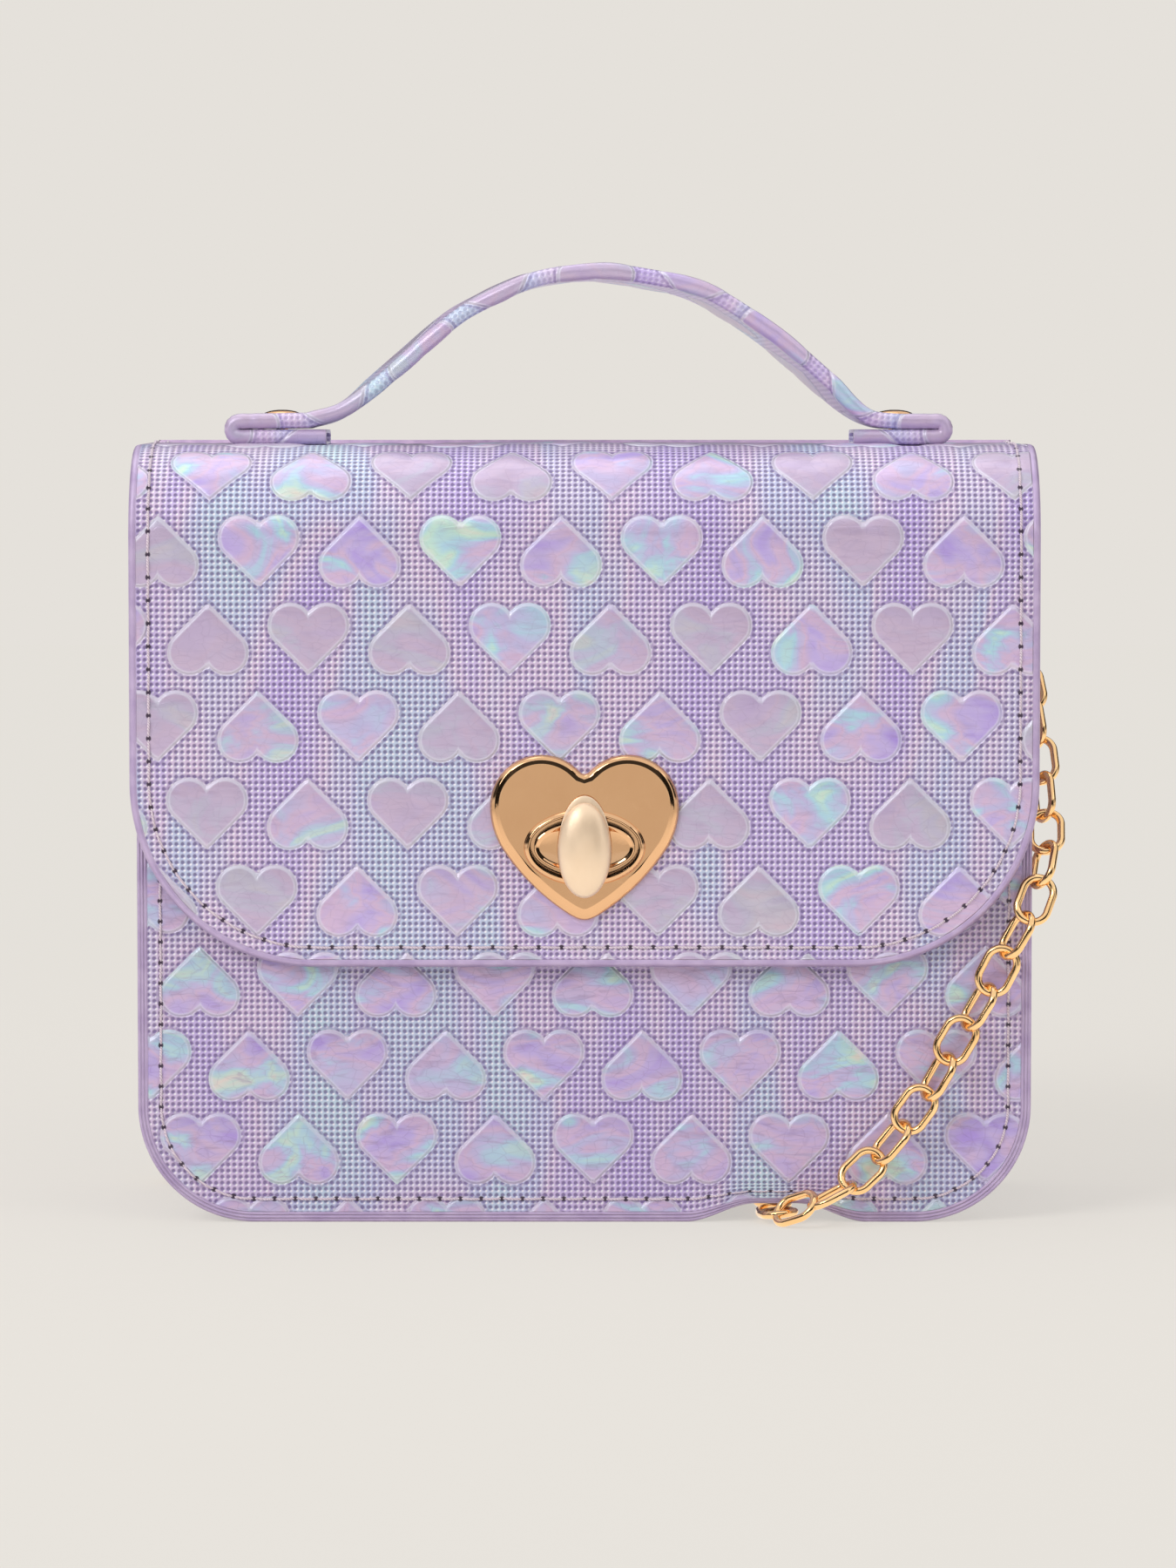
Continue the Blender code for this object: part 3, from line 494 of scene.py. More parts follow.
@dataclass(frozen=True)
class LiningCloth(Finish):
    """Plain-woven lining, a shade darker than the bag."""

    thread: float = 0.45
    light: Colour = (150, 130, 172)
    dark: Colour = (128, 108, 152)
    # Painted shade between the threads.
    pit: Colour = (92, 76, 114)

    def mixed(self, shader: Shader) -> bpy.types.Material:
        """Mix the lining's plain weave from its place, with painted shade between its threads.

        Args:
            shader: the empty shader to fill.

        Returns:
            The finished material.
        """
        x, y, z = shader.split(shader.object_place())
        turn = math.pi * 1000 / self.thread
        warp = ((x + y) * turn).math("SINE").math("ABSOLUTE")
        weft = ((z + y * 0.5) * turn).math("SINE").math("ABSOLUTE")
        cloth = warp * weft
        clouds = shader.noise(shader.object_place(), 45.0, 3.0)
        colour = shader.mix(clouds, self.light, self.dark)
        # Painted shade in the gaps between the threads.
        colour = shader.mix((1 - cloth) * 0.35, colour, self.pit)
        fixed = {"Sheen Weight": 0.25, "Sheen Roughness": 0.5, "Specular IOR Level": 0.25}
        normal = shader.bump(cloth, 0.00012, 0.8)
        varied = {"Base Color": colour, "Roughness": 0.78 + clouds * 0.12, "Normal": normal}
        return shader.finish(fixed, varied)


@dataclass(frozen=True)
class Card(Finish):
    """The stiff board in the bottom of the bag."""

    tones: Stops = ((0.35, (134, 124, 112)), (0.65, (164, 154, 140)))

    def mixed(self, shader: Shader) -> bpy.types.Material:
        """Mix a fibrous grey-brown card."""
        place = shader.object_place()
        fibres = shader.noise(place, 900.0, 5.0, Distortion=1.5)
        colour = shader.ramp(fibres, self.tones)
        normal = shader.bump(fibres, 0.0002, 0.6)
        rough = 0.82 + fibres * 0.1
        return shader.finish({}, {"Base Color": colour, "Roughness": rough, "Normal": normal})


@dataclass(frozen=True)
class RoseGold(Finish):
    """Light rose-gold plating, polished, with faint handling marks."""

    light: Colour = (236, 190, 142)
    deep: Colour = (214, 158, 108)
    rough: float = 0.12
    marks: float = 900.0
    metallic: float = 1.0

    def mixed(self, shader: Shader) -> bpy.types.Material:
        """Mix the plated metal from its place.

        Args:
            shader: the empty shader to fill.

        Returns:
            The finished material.
        """
        place = shader.object_place()
        clouds = shader.noise(place, 160.0, 3.0)
        scuffs = shader.noise(place, self.marks, 4.0, Distortion=2.0)
        colour = shader.mix(clouds, self.deep, self.light)
        rough = self.rough + scuffs.step(0.5, 0.8) * 0.10 + clouds * 0.04
        normal = shader.bump(scuffs, 0.00002, 0.35)
        fixed = {"Metallic": self.metallic}
        return shader.finish(fixed, {"Base Color": colour, "Roughness": rough, "Normal": normal})


@dataclass(frozen=True)
class Thread(Finish):
    """Waxed lilac sewing thread, twisted."""

    twist: float = 0.0006
    # The dark colour is painted shade in the twist's grooves, and the light one is a painted
    # highlight on its ridges.
    dark: Colour = (206, 186, 206)
    light: Colour = (240, 226, 236)

    def mixed(self, shader: Shader) -> bpy.types.Material:
        """Mix a pale thread with its slanting twist, painted darker in the twist's grooves and
        lighter on its ridges as painted shade and highlight.
        """
        x, y, z = shader.split(shader.object_place())
        twist = ((x + z + y) * (math.tau / self.twist)).math("SINE")
        # Painted shade in the twist's grooves and painted highlight on its ridges, following the
        # bump.
        colour = shader.mix(twist * 0.5 + 0.5, self.dark, self.light)
        normal = shader.bump(twist, 0.00006, 0.8)
        varied = {"Base Color": colour, "Roughness": 0.5 + twist * 0.08, "Normal": normal}
        return shader.finish({"Sheen Weight": 0.2}, varied)


FLAP_LEATHER = EmbossedLeather("flap leather", "leather")
PANEL_LEATHER = EmbossedLeather(
    "panel leather",
    "leather",
    rim_width=1.95,
    rim_count=3,
    seam_inset=4.4,
    seam_pitch=3.9,
    shade=0.90,
    plain=0.15,
    streaks=0.42,
)
STRAP_LEATHER = EmbossedLeather(
    "strap leather", "leather", rim_width=-5.0, seam_inset=-5.0, depth=0.4
)
GUSSET_LEATHER = EmbossedLeather(
    "gusset leather", "leather", rim_width=1.0, seam_inset=-5.0, shade=0.94
)
EDGE_PAINT = PaintedEdge("edge paint", "leather")
LEATHER_BACK = Backing("leather backing", "leather_back")
LINING = LiningCloth("lining cloth", "cloth")
BOARD = Card("base board card", "card")
GOLD = RoseGold("rose gold", "gold")
MIRROR_GOLD = RoseGold(
    "rose gold mirror", "gold", deep=(222, 174, 130), light=(230, 184, 140), rough=0.05, marks=300.0
)
KNOB_GOLD = RoseGold(
    "rose gold satin",
    "gold",
    deep=(246, 216, 182),
    light=(255, 232, 204),
    rough=0.34,
    metallic=0.45,
)
# Dark gold for the slot's wall and the groove round the barrel's end: painted shade.
GROOVE_PAINTED_SHADE_GOLD = RoseGold(
    "rose gold in shade", "gold", deep=(46, 30, 20), light=(66, 44, 30), rough=0.30
)
CHAIN_GOLD = RoseGold(
    "rose gold chain", "gold", deep=(240, 188, 126), light=(255, 218, 164), rough=0.09, marks=300.0
)
THREAD = Thread("lilac thread", "leather")


def select_none() -> None:
    """Deselect every object."""
    bpy.ops.object.select_all(action="DESELECT")


def take_up(piece: bpy.types.Object) -> None:
    """Make one piece the only selected and active object."""
    select_none()
    piece.select_set(True)
    bpy.context.view_layer.objects.active = piece


def apply_modifier(piece: bpy.types.Object, kind: str, **settings: object) -> None:
    """Add a modifier with its settings and apply it.

    Args:
        piece: the object that it changes.
        kind: the modifier's type.
        settings: the modifier's own settings.
    """
    take_up(piece)
    added = piece.modifiers.new(kind.lower(), kind)
    for key, value in settings.items():
        setattr(added, key, value)
    bpy.ops.object.modifier_apply(modifier=added.name)


def in_edit_mode(piece: bpy.types.Object, mode: str = "FACE") -> None:
    """Open a piece in edit mode with nothing selected."""
    take_up(piece)
    bpy.ops.object.mode_set(mode="EDIT")
    bpy.ops.mesh.select_mode(type=mode)
    bpy.ops.mesh.select_all(action="DESELECT")


def select_faces(piece: bpy.types.Object, wanted: Callable[[bmesh.types.BMFace], bool]) -> None:
    """Select the faces of the piece in edit mode that pass a test."""
    shape = bmesh.from_edit_mesh(piece.data)
    for face in shape.faces:
        face.select_set(wanted(face))
    bmesh.update_edit_mesh(piece.data)


def select_edges(piece: bpy.types.Object, wanted: Callable[[bmesh.types.BMEdge], bool]) -> None:
    """Select the edges of the piece in edit mode that pass a test."""
    shape = bmesh.from_edit_mesh(piece.data)
    for edge in shape.edges:
        edge.select_set(wanted(edge))
    bmesh.update_edit_mesh(piece.data)


def leave_edit_mode() -> None:
    """Go back to object mode."""
    bpy.ops.object.mode_set(mode="OBJECT")


def settle(piece: bpy.types.Object) -> None:
    """Put the piece's place, turn and size into its mesh."""
    take_up(piece)
    bpy.ops.object.transform_apply(location=True, rotation=True, scale=True)


def vertex_places(piece: bpy.types.Object) -> np.ndarray:
    """Return the mesh's points as rows of x, y and z."""
    flat = np.empty(len(piece.data.vertices) * 3)
    piece.data.vertices.foreach_get("co", flat)
    return flat.reshape(-1, 3)


def move_vertices(piece: bpy.types.Object, places: np.ndarray) -> None:
    """Give the mesh's points new places."""
    piece.data.vertices.foreach_set("co", np.asarray(places, dtype=float).reshape(-1))
    piece.data.update()


def store(piece: bpy.types.Object, name: str, values: np.ndarray) -> None:
    """Store one number for each point of the mesh."""
    layer = piece.data.attributes.new(name, "FLOAT", "POINT")
    layer.data.foreach_set("value", np.asarray(values, dtype=np.float32).reshape(-1))


def store_flat_map(piece: bpy.types.Object, across: np.ndarray, along: np.ndarray) -> None:
    """Store the place on the flat leather, in metres, as the piece's UV map."""
    mesh = piece.data
    corners = np.empty(len(mesh.loops), dtype=np.int64)
    mesh.loops.foreach_get("vertex_index", corners)
    while mesh.uv_layers:
        mesh.uv_layers.remove(mesh.uv_layers[0])
    layer = mesh.uv_layers.new(name=FLAT_MAP)
    places = np.stack([across.reshape(-1), along.reshape(-1)], axis=1) * 1000 / FLAT_MAP_SIZE
    layer.uv.foreach_set("vector", places[corners].astype(np.float32).reshape(-1))


def mesh_piece(name: str, places: np.ndarray, faces: Sequence[Sequence[int]]) -> bpy.types.Object:
    """Make an object from points and faces.

    Args:
        name: the piece's name.
        places: its points.
        faces: the points of each face.

    Returns:
        The new object, linked to the scene.
    """
    mesh = bpy.data.meshes.new(name)
    mesh.from_pydata([tuple(p) for p in places], [], [tuple(f) for f in faces])
    mesh.update()
    made = bpy.data.objects.new(name, mesh)
    bpy.context.scene.collection.objects.link(made)
    return made


def ring_faces(rings: int, count: int, closed: bool = False) -> list[list[int]]:
    """Return the faces that join rings of equally many points, each ring to the next.

    Args:
        rings: how many rings there are.
        count: the points of one ring.
        closed: whether the last ring joins the first; otherwise the ends are capped.

    Returns:
        The points of each face.
    """
    faces = []
    for index in range(rings if closed else rings - 1):
        low = index * count
        high = (index + 1) % rings * count
        for corner in range(count):
            beside = (corner + 1) % count
            faces.append([low + corner, low + beside, high + beside, high + corner])
    if not closed:
        faces.append(list(reversed(range(count))))
        faces.append([(rings - 1) * count + corner for corner in range(count)])
    return faces


def turn_outward(piece: bpy.types.Object, merge: float = 0.0) -> None:
    """Merge a piece's doubles within a distance, if any, and turn its faces outward."""
    in_edit_mode(piece)
    bpy.ops.mesh.select_all(action="SELECT")
    if merge:
        bpy.ops.mesh.remove_doubles(threshold=merge)
    bpy.ops.mesh.normals_make_consistent(inside=False)
    leave_edit_mode()


def dress(
    piece: bpy.types.Object,
    finish: Finish,
    body: str | None,
    replaced: Sequence[str] = (),
    smooth_angle: float | None = 35.0,
) -> bpy.types.Object:
    """Finish a piece: its material, its smoothness, its body and what it stands for.

    Args:
        piece: the object.
        finish: its finish.
        body: the CAD body that it rides on, or None where it blends.
        replaced: the CAD nodes that it replaces.
        smooth_angle: the angle over which an edge stays sharp, or None.

    Returns:
        The same piece.
    """
    if not piece.data.materials:
        piece.data.materials.append(finish.material())
    if smooth_angle is not None:
        take_up(piece)
        bpy.ops.object.shade_smooth_by_angle(angle=math.radians(smooth_angle))
    if body:
        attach(piece, body)
    if replaced:
        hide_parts(*replaced)
    log.info("%s: %d faces", piece.name, len(piece.data.polygons))
    return piece


@dataclass
class PhotoCamera:
    """The photograph's viewpoint: level with the top of the flap, about a metre off."""

    aim: Point = (0.00065, FLAP_FACE_Y, 0.0831)
    distance: float = 1.0
    height: float = 0.145
    frame_height: float = 0.2934
    sensor: float = 24.0

    def place(self) -> bpy.types.Object:
        """Add the camera and make it the scene's own."""
        aim = Vector(self.aim)
        eye = Vector((aim.x, aim.y - self.distance, self.height))
        turn = (aim - eye).to_track_quat("-Z", "Y").to_euler()
        select_none()
        bpy.ops.object.camera_add(location=eye, rotation=turn)
        camera = bpy.context.object
        camera.name = "photo camera"
        camera.data.sensor_fit = "VERTICAL"
        camera.data.sensor_height = self.sensor
        camera.data.lens = self.sensor * (aim - eye).length / self.frame_height
        camera.data.clip_start = 0.01
        bpy.context.scene.camera = camera
        return camera


@dataclass(frozen=True)
class PaleFloor(Finish):
    """A pale table whose far parts melt into the backdrop."""

    colour: Colour = (229, 225, 219)
    speckle: Colour = (222, 217, 210)
    dim: Colour = (176, 173, 168)
    boost: float = 1.8
    near: float = 0.16
    far: float = 0.75
    veil: float = 0.68

    def mixed(self, shader: Shader) -> bpy.types.Material:
        """Mix a matt table with the backdrop's colour for what the camera sees, and a brighter
        painted glow near the bag for what mirrored rays see.

        Args:
            shader: the empty shader to fill.

        Returns:
            The finished material.
        """
        place = shader.object_place()
        away = shader.node("ShaderNodeVectorMath", {0: place}, output="Value", operation="LENGTH")
        grain = shader.noise(place, 180.0, 3.0)
        tint = shader.mix(grain * 0.25, self.colour, self.speckle)
        table = shader.node("ShaderNodeBsdfDiffuse", {"Color": tint, "Roughness": 0.6})
        camera = shader.node("ShaderNodeLightPath", output="Is Camera Ray")
        mirror = shader.node("ShaderNodeLightPath", output="Is Glossy Ray")
        veil = self.veil + away.step(self.near, self.far) * (1 - self.veil)
        # Mirrored rays see the table near the bag as a painted glow, brighter than its lit colour.
        lit = shader.mix(mirror * away.step(self.far, self.near), self.dim, self.colour)
        glow = shader.node("ShaderNodeEmission", {"Color": lit, "Strength": self.boost})
        seen = veil * (camera + mirror)
        surface = shader.node("ShaderNodeMixShader", {0: seen, 1: table, 2: glow})
        return shader.close(surface)


@dataclass(frozen=True)
class Softbox:
    """A square soft light that faces the bag."""

    name: str
    place: Point
    size: float
    power: float

    def hang(self) -> None:
        """Add the light."""
        aim = Vector((0.0, 0.0, 0.08))
        turn = (aim - Vector(self.place)).to_track_quat("-Z", "Y").to_euler()
        select_none()
        bpy.ops.object.light_add(type="AREA", location=self.place, rotation=turn)
        lamp = bpy.context.object
        lamp.name = self.name
        lamp.data.shape = "SQUARE"
        lamp.data.size = self.size
        lamp.data.energy = self.power


@dataclass
class Studio:
    """A pale table, an even sky, a broad soft light on the left and a weak one on the right."""

    floor_size: float = 6.0
    floor_height: float = -0.00005
    sky_strength: float = 0.70
    sky_tint: tuple[float, float, float, float] = (1.0, 0.985, 0.96, 1.0)
    sky_bands: Stops = (
        (0.0, 0.90), (0.52, 0.85), (0.57, 0.05), (0.74, 0.05), (0.80, 1.0), (0.90, 1.0),
    )
    lights: tuple[Softbox, ...] = (
        Softbox("key light", (-0.95, -1.05, 0.95), 0.75, 10.0),
        Softbox("fill light", (1.1, -0.8, 0.6), 0.9, 2.0),
        Softbox("top light", (-0.2, 0.25, 1.3), 0.8, 2.4),
    )
    flag_x: float = 0.60
    flag_y: tuple[float, float] = (-1.70, -0.35)
    flag_top: float = 0.45

    def build(self) -> None:
        """Lay the floor, hang the lights and fill the sky."""
        select_none()
        bpy.ops.mesh.primitive_plane_add(size=self.floor_size, location=(0, 0, self.floor_height))
        floor = bpy.context.object
        floor.name = "table"
        floor.data.materials.append(PaleFloor("pale table", "").material())
        for light in self.lights:
            light.hang()
        for side in (-1, 1):
            self._flag(side)
        self._sky()

    def _flag(self, side: int) -> None:
        """Stand a black card at one side that only mirrored rays see."""
        start, end = self.flag_y
        select_none()
        bpy.ops.mesh.primitive_plane_add(
            size=1,
            location=(side * self.flag_x, (start + end) / 2, self.flag_top / 2),
            rotation=(0, math.pi / 2, 0),
            scale=(self.flag_top, end - start, 1),
        )
        flag = bpy.context.object
        flag.name = f"black flag {side}"
        flag.data.materials.append(Backing("black card", "", colour=(10, 9, 8)).material())
        for kind in ("camera", "diffuse", "transmission", "volume_scatter", "shadow"):
            setattr(flag, f"visible_{kind}", False)

    def _sky(self) -> None:
        """Give the world an even light and, where it is seen, the backdrop's colour."""
        shader = Shader("studio sky", world=True)
        _, _, height = shader.split(shader.node("ShaderNodeTexCoord", output="Generated"))
        bands = shader.ramp(height * 0.5 + 0.5, self.sky_bands)
        tint = {"Color": self.sky_tint, "Strength": self.sky_strength}
        even = shader.node("ShaderNodeBackground", tint)
        mirrored = shader.node("ShaderNodeBackground", {"Color": bands})
        backdrop = shader.node("ShaderNodeBackground", {"Color": linear(PaleFloor.colour)})
        camera, glossy, through = (
            shader.node("ShaderNodeLightPath", output=f"Is {ray} Ray")
            for ray in ("Camera", "Glossy", "Transmission")
        )
        lit = shader.node("ShaderNodeMixShader", {0: glossy, 1: even, 2: mirrored})
        seen = camera.math("MAXIMUM", through)
        whole = shader.node("ShaderNodeMixShader", {0: seen, 1: lit, 2: backdrop})
        bpy.context.scene.world = shader.close(whole)


def smooth_line(points: Sequence[Point], spacing: float) -> np.ndarray:
    """Return evenly spaced points of a smooth curve through given points.

    Args:
        points: the points that it passes through.
        spacing: the distance between the points that come back, about.

    Returns:
        One row for each point.
    """
    given = np.array(points, dtype=float)
    knots = np.vstack([2 * given[0] - given[1], given, 2 * given[-1] - given[-2]])
    dense = []
    for index in range(1, len(knots) - 2):
        p0, p1, p2, p3 = knots[index - 1 : index + 3]
        for share in np.linspace(0, 1, 24, endpoint=False):
            linear_part = (p2 - p0) * share
            square_part = (2 * p0 - 5 * p1 + 4 * p2 - p3) * share**2
            cube_part = (3 * p1 - p0 - 3 * p2 + p3) * share**3
            dense.append(0.5 * (2 * p1 + linear_part + square_part + cube_part))
    return respaced(np.array([*dense, given[-1]]), spacing)


def travelled(line: np.ndarray) -> np.ndarray:
    """Return the distance along a line at each of its points."""
    steps = np.linalg.norm(np.diff(line, axis=0), axis=1)
    return np.concatenate([[0.0], np.cumsum(steps)])


def along_line(line: np.ndarray, distance: float | np.ndarray) -> np.ndarray:
    """Return the points at given distances along a line."""
    lengths = travelled(line)
    return np.stack([np.interp(distance, lengths, line[:, axis]) for axis in range(3)], axis=-1)


def respaced(line: np.ndarray, spacing: float) -> np.ndarray:
    """Return the same line with its points evenly spaced."""
    length = travelled(line)[-1]
    count = max(2, round(length / spacing) + 1)
    return along_line(line, np.linspace(0, length, count))


def smooth_share(value: np.ndarray) -> np.ndarray:
    """Return values from 0 to 1, and beyond, as shares that start and end softly."""
    share = np.clip(value, 0, 1)
    return share * share * (3 - 2 * share)


def unit(vectors: np.ndarray) -> np.ndarray:
    """Return a vector, or each row of vectors, with its direction and of length one."""
    return vectors / np.linalg.norm(vectors, axis=-1, keepdims=True)


class LinkDetail(Enum):
    """How many faces a link has: round it and round its wire."""

    IN_SIGHT = (36, 16)
    PUT_AWAY = (20, 6)


@dataclass
class ShoulderChain:
    """The strap chain: oval links on one route, hooked to a ring at each side."""

    route_step: float = 0.0014
    wire: float = 0.0015
    half_width: float = 0.0029
    pitch: float = 0.0076
    overlap: float = 0.0002
    links_in_sight: int = 20
    left_links: int = 10
    right_blend: tuple[Point, Point] = ((0.0808, 0.0, 0.0544), (0.0864, 0.0, 0.1123))
    floor_links: int = 4
    floor_roll: float = math.radians(19)
    hanging_roll: float = math.radians(45)
    hanging_middle: float = math.radians(35)
    hanging_spread: float = math.radians(27)
    coil_diameter: float = 0.0046
    chain_diameter: float = 0.0050
    coil_radius: float = 0.0300
    coil_spacing: float = 0.0052
    coil_turns: float = 4.5
    coil_points: int = 24
    coil_centre: tuple[float, float] = (0.0060, 0.0680)
    coil_lift: float = 0.0005
    drop_points: tuple[Point, ...] = (
        (0.0817, 0.0038, 0.1128), (0.0836, -0.0008, 0.1052), (0.0853, -0.0055, 0.0963),
        (0.0864, -0.0100, 0.0880), (0.0870, -0.0138, 0.0805), (0.0872, -0.0176, 0.0743),
        (0.0865, -0.0226, 0.0683), (0.0843, -0.0270, 0.0606), (0.0808, -0.0280, 0.0544),
        (0.0773, -0.0281, 0.0478), (0.0737, -0.0281, 0.0408), (0.0694, -0.0281, 0.0344),
        (0.0662, -0.0281, 0.0277), (0.0618, -0.0281, 0.0217), (0.0574, -0.0281, 0.0155),
        (0.0526, -0.0285, 0.0108), (0.0483, -0.0300, 0.0070), (0.0434, -0.0312, 0.0048),
        (0.0392, -0.0298, 0.0034), (0.0368, -0.0254, 0.0019), (0.0360, -0.0180, 0.0017),
        (0.0360, -0.0060, 0.0017), (0.0360, 0.0200, 0.0017), (0.0360, 0.0360, 0.0018),
        (0.0360, 0.0480, 0.0024), (0.0360, 0.0680, 0.0029),
    )
    rise_points: tuple[Point, ...] = (
        (-0.0240, 0.0680, 0.0080), (-0.0240, 0.0640, 0.0080), (-0.0240, 0.0605, 0.0079),
        (-0.0250, 0.0545, 0.0073), (-0.0310, 0.0475, 0.0046), (-0.0440, 0.0420, 0.0032),
        (-0.0620, 0.0405, 0.0031), (-0.0740, 0.0398, 0.0031), (-0.0800, 0.0365, 0.0034),
        (-0.0814, 0.0305, 0.0056), (-0.0814, 0.0262, 0.0120), (-0.0812, 0.0235, 0.0300),
        (-0.0812, 0.0190, 0.0560), (-0.0812, 0.0115, 0.0880), (-0.0812, 0.0052, 0.1132),
    )

    def build(self) -> None:
        """Make the chain, and its end at the left ring as a piece of its own."""
        route = self.route()
        whole = float(travelled(route)[-1])
        frames = self._frames(route, round(whole / self.pitch) + 1)
        first = len(frames) - self.left_links
        self._stretch(
            "shoulder_chain",
            frames[:first],
            ("chain_drop", "chain_run", "chain_coil", "chain_rise"),
        )
        self._stretch(
            "shoulder_chain_end",
            frames[first:],
            ("chain_rise",),
        )

    def _stretch(
        self,
        name: str,
        frames: list[tuple[np.ndarray, ...]],
        nodes: tuple[str, ...],
    ) -> None:
        """Make a stretch of links as one piece, a free cord.

        Args:
            name: the piece's name.
            frames: each link's centre, direction and facing.
            nodes: the CAD nodes that it replaces.
        """
        shapes = {detail: self._link(detail) for detail in LinkDetail}
        places: list[np.ndarray] = []
        faces: list[np.ndarray] = []
        start = 0
        for index, (centre, direction, normal) in enumerate(frames):
            near = index < self.links_in_sight
            points, quads = shapes[LinkDetail.IN_SIGHT if near else LinkDetail.PUT_AWAY]
            turn = np.stack([direction, np.cross(normal, direction), normal])
            places.append(points @ turn + centre)
            faces.append(quads + start)
            start += len(points)
        chain = mesh_piece(name, np.concatenate(places), np.concatenate(faces).tolist())
        dress(chain, CHAIN_GOLD, None, nodes, smooth_angle=60.0)
        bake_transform(chain)

    def route(self) -> np.ndarray:
        """Return the whole centre line: the drop, the stretch under the bag, the coil, the rise."""
        coil = self._coil()
        drop = smooth_line(self.drop_points, self.route_step)
        rise = smooth_line(self.rise_points, self.route_step)
        return respaced(np.concatenate([drop[:-1], coil, rise[1:]]), self.route_step)

    def _coil(self) -> np.ndarray:
        """Return the round two-layer coil behind the bag."""
        middle = self.coil_turns / 2
        turns = np.linspace(0, self.coil_turns, round(self.coil_turns * self.coil_points) + 1)
        inner = self.coil_radius - self.coil_spacing * middle
        radius = inner + self.coil_spacing * np.abs(turns - middle)
        low = self.coil_diameter / 2 + self.coil_lift
        height = low + self.coil_spacing * smooth_share((turns - int(middle)) / 0.5)
        x = self.coil_centre[0] + radius * np.cos(math.tau * turns)
        y = self.coil_centre[1] + radius * np.sin(math.tau * turns)
        return np.stack([x, y, height], axis=1)

    def _frames(self, route: np.ndarray, count: int) -> list[tuple[np.ndarray, ...]]:
        """Return each link's centre, direction and the direction its flat side faces.

        Args:
            route: the chain's centre line.
            count: how many links there are.

        Returns:
            Three vectors for each link.
        """
        frames = []
        base = np.array([0.0, 0.0, 1.0])
        drop = travelled(smooth_line(self.drop_points, self.route_step))[-1]
        whole = float(travelled(route)[-1])
        pitch = whole / (count - 1)
        for index in range(count):
            centre = along_line(route, index * pitch)
            ahead = along_line(route, min(whole, (index + 0.5) * pitch))
            behind = along_line(route, max(0.0, (index - 0.5) * pitch))
            direction = unit(ahead - behind)
            sign = -1 if index % 2 == 0 else 1
            if index < self.links_in_sight:
                facing = unit(np.array([0, -1, 0]) + direction * direction[1])
                roll = self._roll_in_sight(index, sign)
            else:
                base = unit(base - direction * (base @ direction))
                facing = base
                past = index * pitch - drop
                share = min(1.0, max(0.0, (past + self.coil_diameter) / self.coil_diameter / 4))
                roll = sign * (self.floor_roll + (self.hanging_roll - self.floor_roll) * share)
            normal = math.cos(roll) * facing + math.sin(roll) * np.cross(direction, facing)
            frames.append((centre, direction, normal))
        return frames

    def _roll_in_sight(self, index: int, sign: int) -> float:
        """Return how far a link in sight is rolled about the chain's line.

        Args:
            index: the link's number from the right ring.
            sign: -1 and 1 in turn.

        Returns:
            The roll in radians, which changes where the chain comes down to the floor.
        """
        down = (index - (self.links_in_sight - 1 - self.floor_links)) / self.floor_links
        down = min(1.0, max(0.0, down))
        middle = self.hanging_middle + (math.pi / 2 - self.hanging_middle) * down
        spread = self.hanging_spread + (self.floor_roll - self.hanging_spread) * down
        return middle + sign * spread

    def _link(self, detail: LinkDetail) -> tuple[np.ndarray, np.ndarray]:
        """Model one oval link from a torus whose halves are drawn apart.

        Args:
            detail: how many faces it has.

        Returns:
            Its points and its faces.
        """
        rounds, sides = detail.value
        select_none()
        bpy.ops.mesh.primitive_torus_add(
            major_segments=rounds,
            minor_segments=sides,
            major_radius=self.half_width,
            minor_radius=self.wire / 2,
        )
        link = bpy.context.object
        in_edit_mode(link, "VERT")
        bpy.ops.mesh.select_all(action="SELECT")
        half_step = math.pi / rounds
        bpy.ops.transform.rotate(value=half_step, orient_axis="Z", center_override=(0, 0, 0))
        straight = (self.pitch + self.wire - self.overlap) / 2 - self.half_width
        for side in (-1, 1):
            bpy.ops.mesh.select_all(action="DESELECT")
            shape = bmesh.from_edit_mesh(link.data)
            for vertex in shape.verts:
                vertex.select_set(vertex.co.x * side > 0)
            shape.select_flush(True)
            bmesh.update_edit_mesh(link.data)
            bpy.ops.transform.translate(value=(side * straight, 0, 0))
        leave_edit_mode()
        points = vertex_places(link)
        quads = np.array([tuple(face.vertices) for face in link.data.polygons])
        bpy.data.objects.remove(link)
        return points, quads


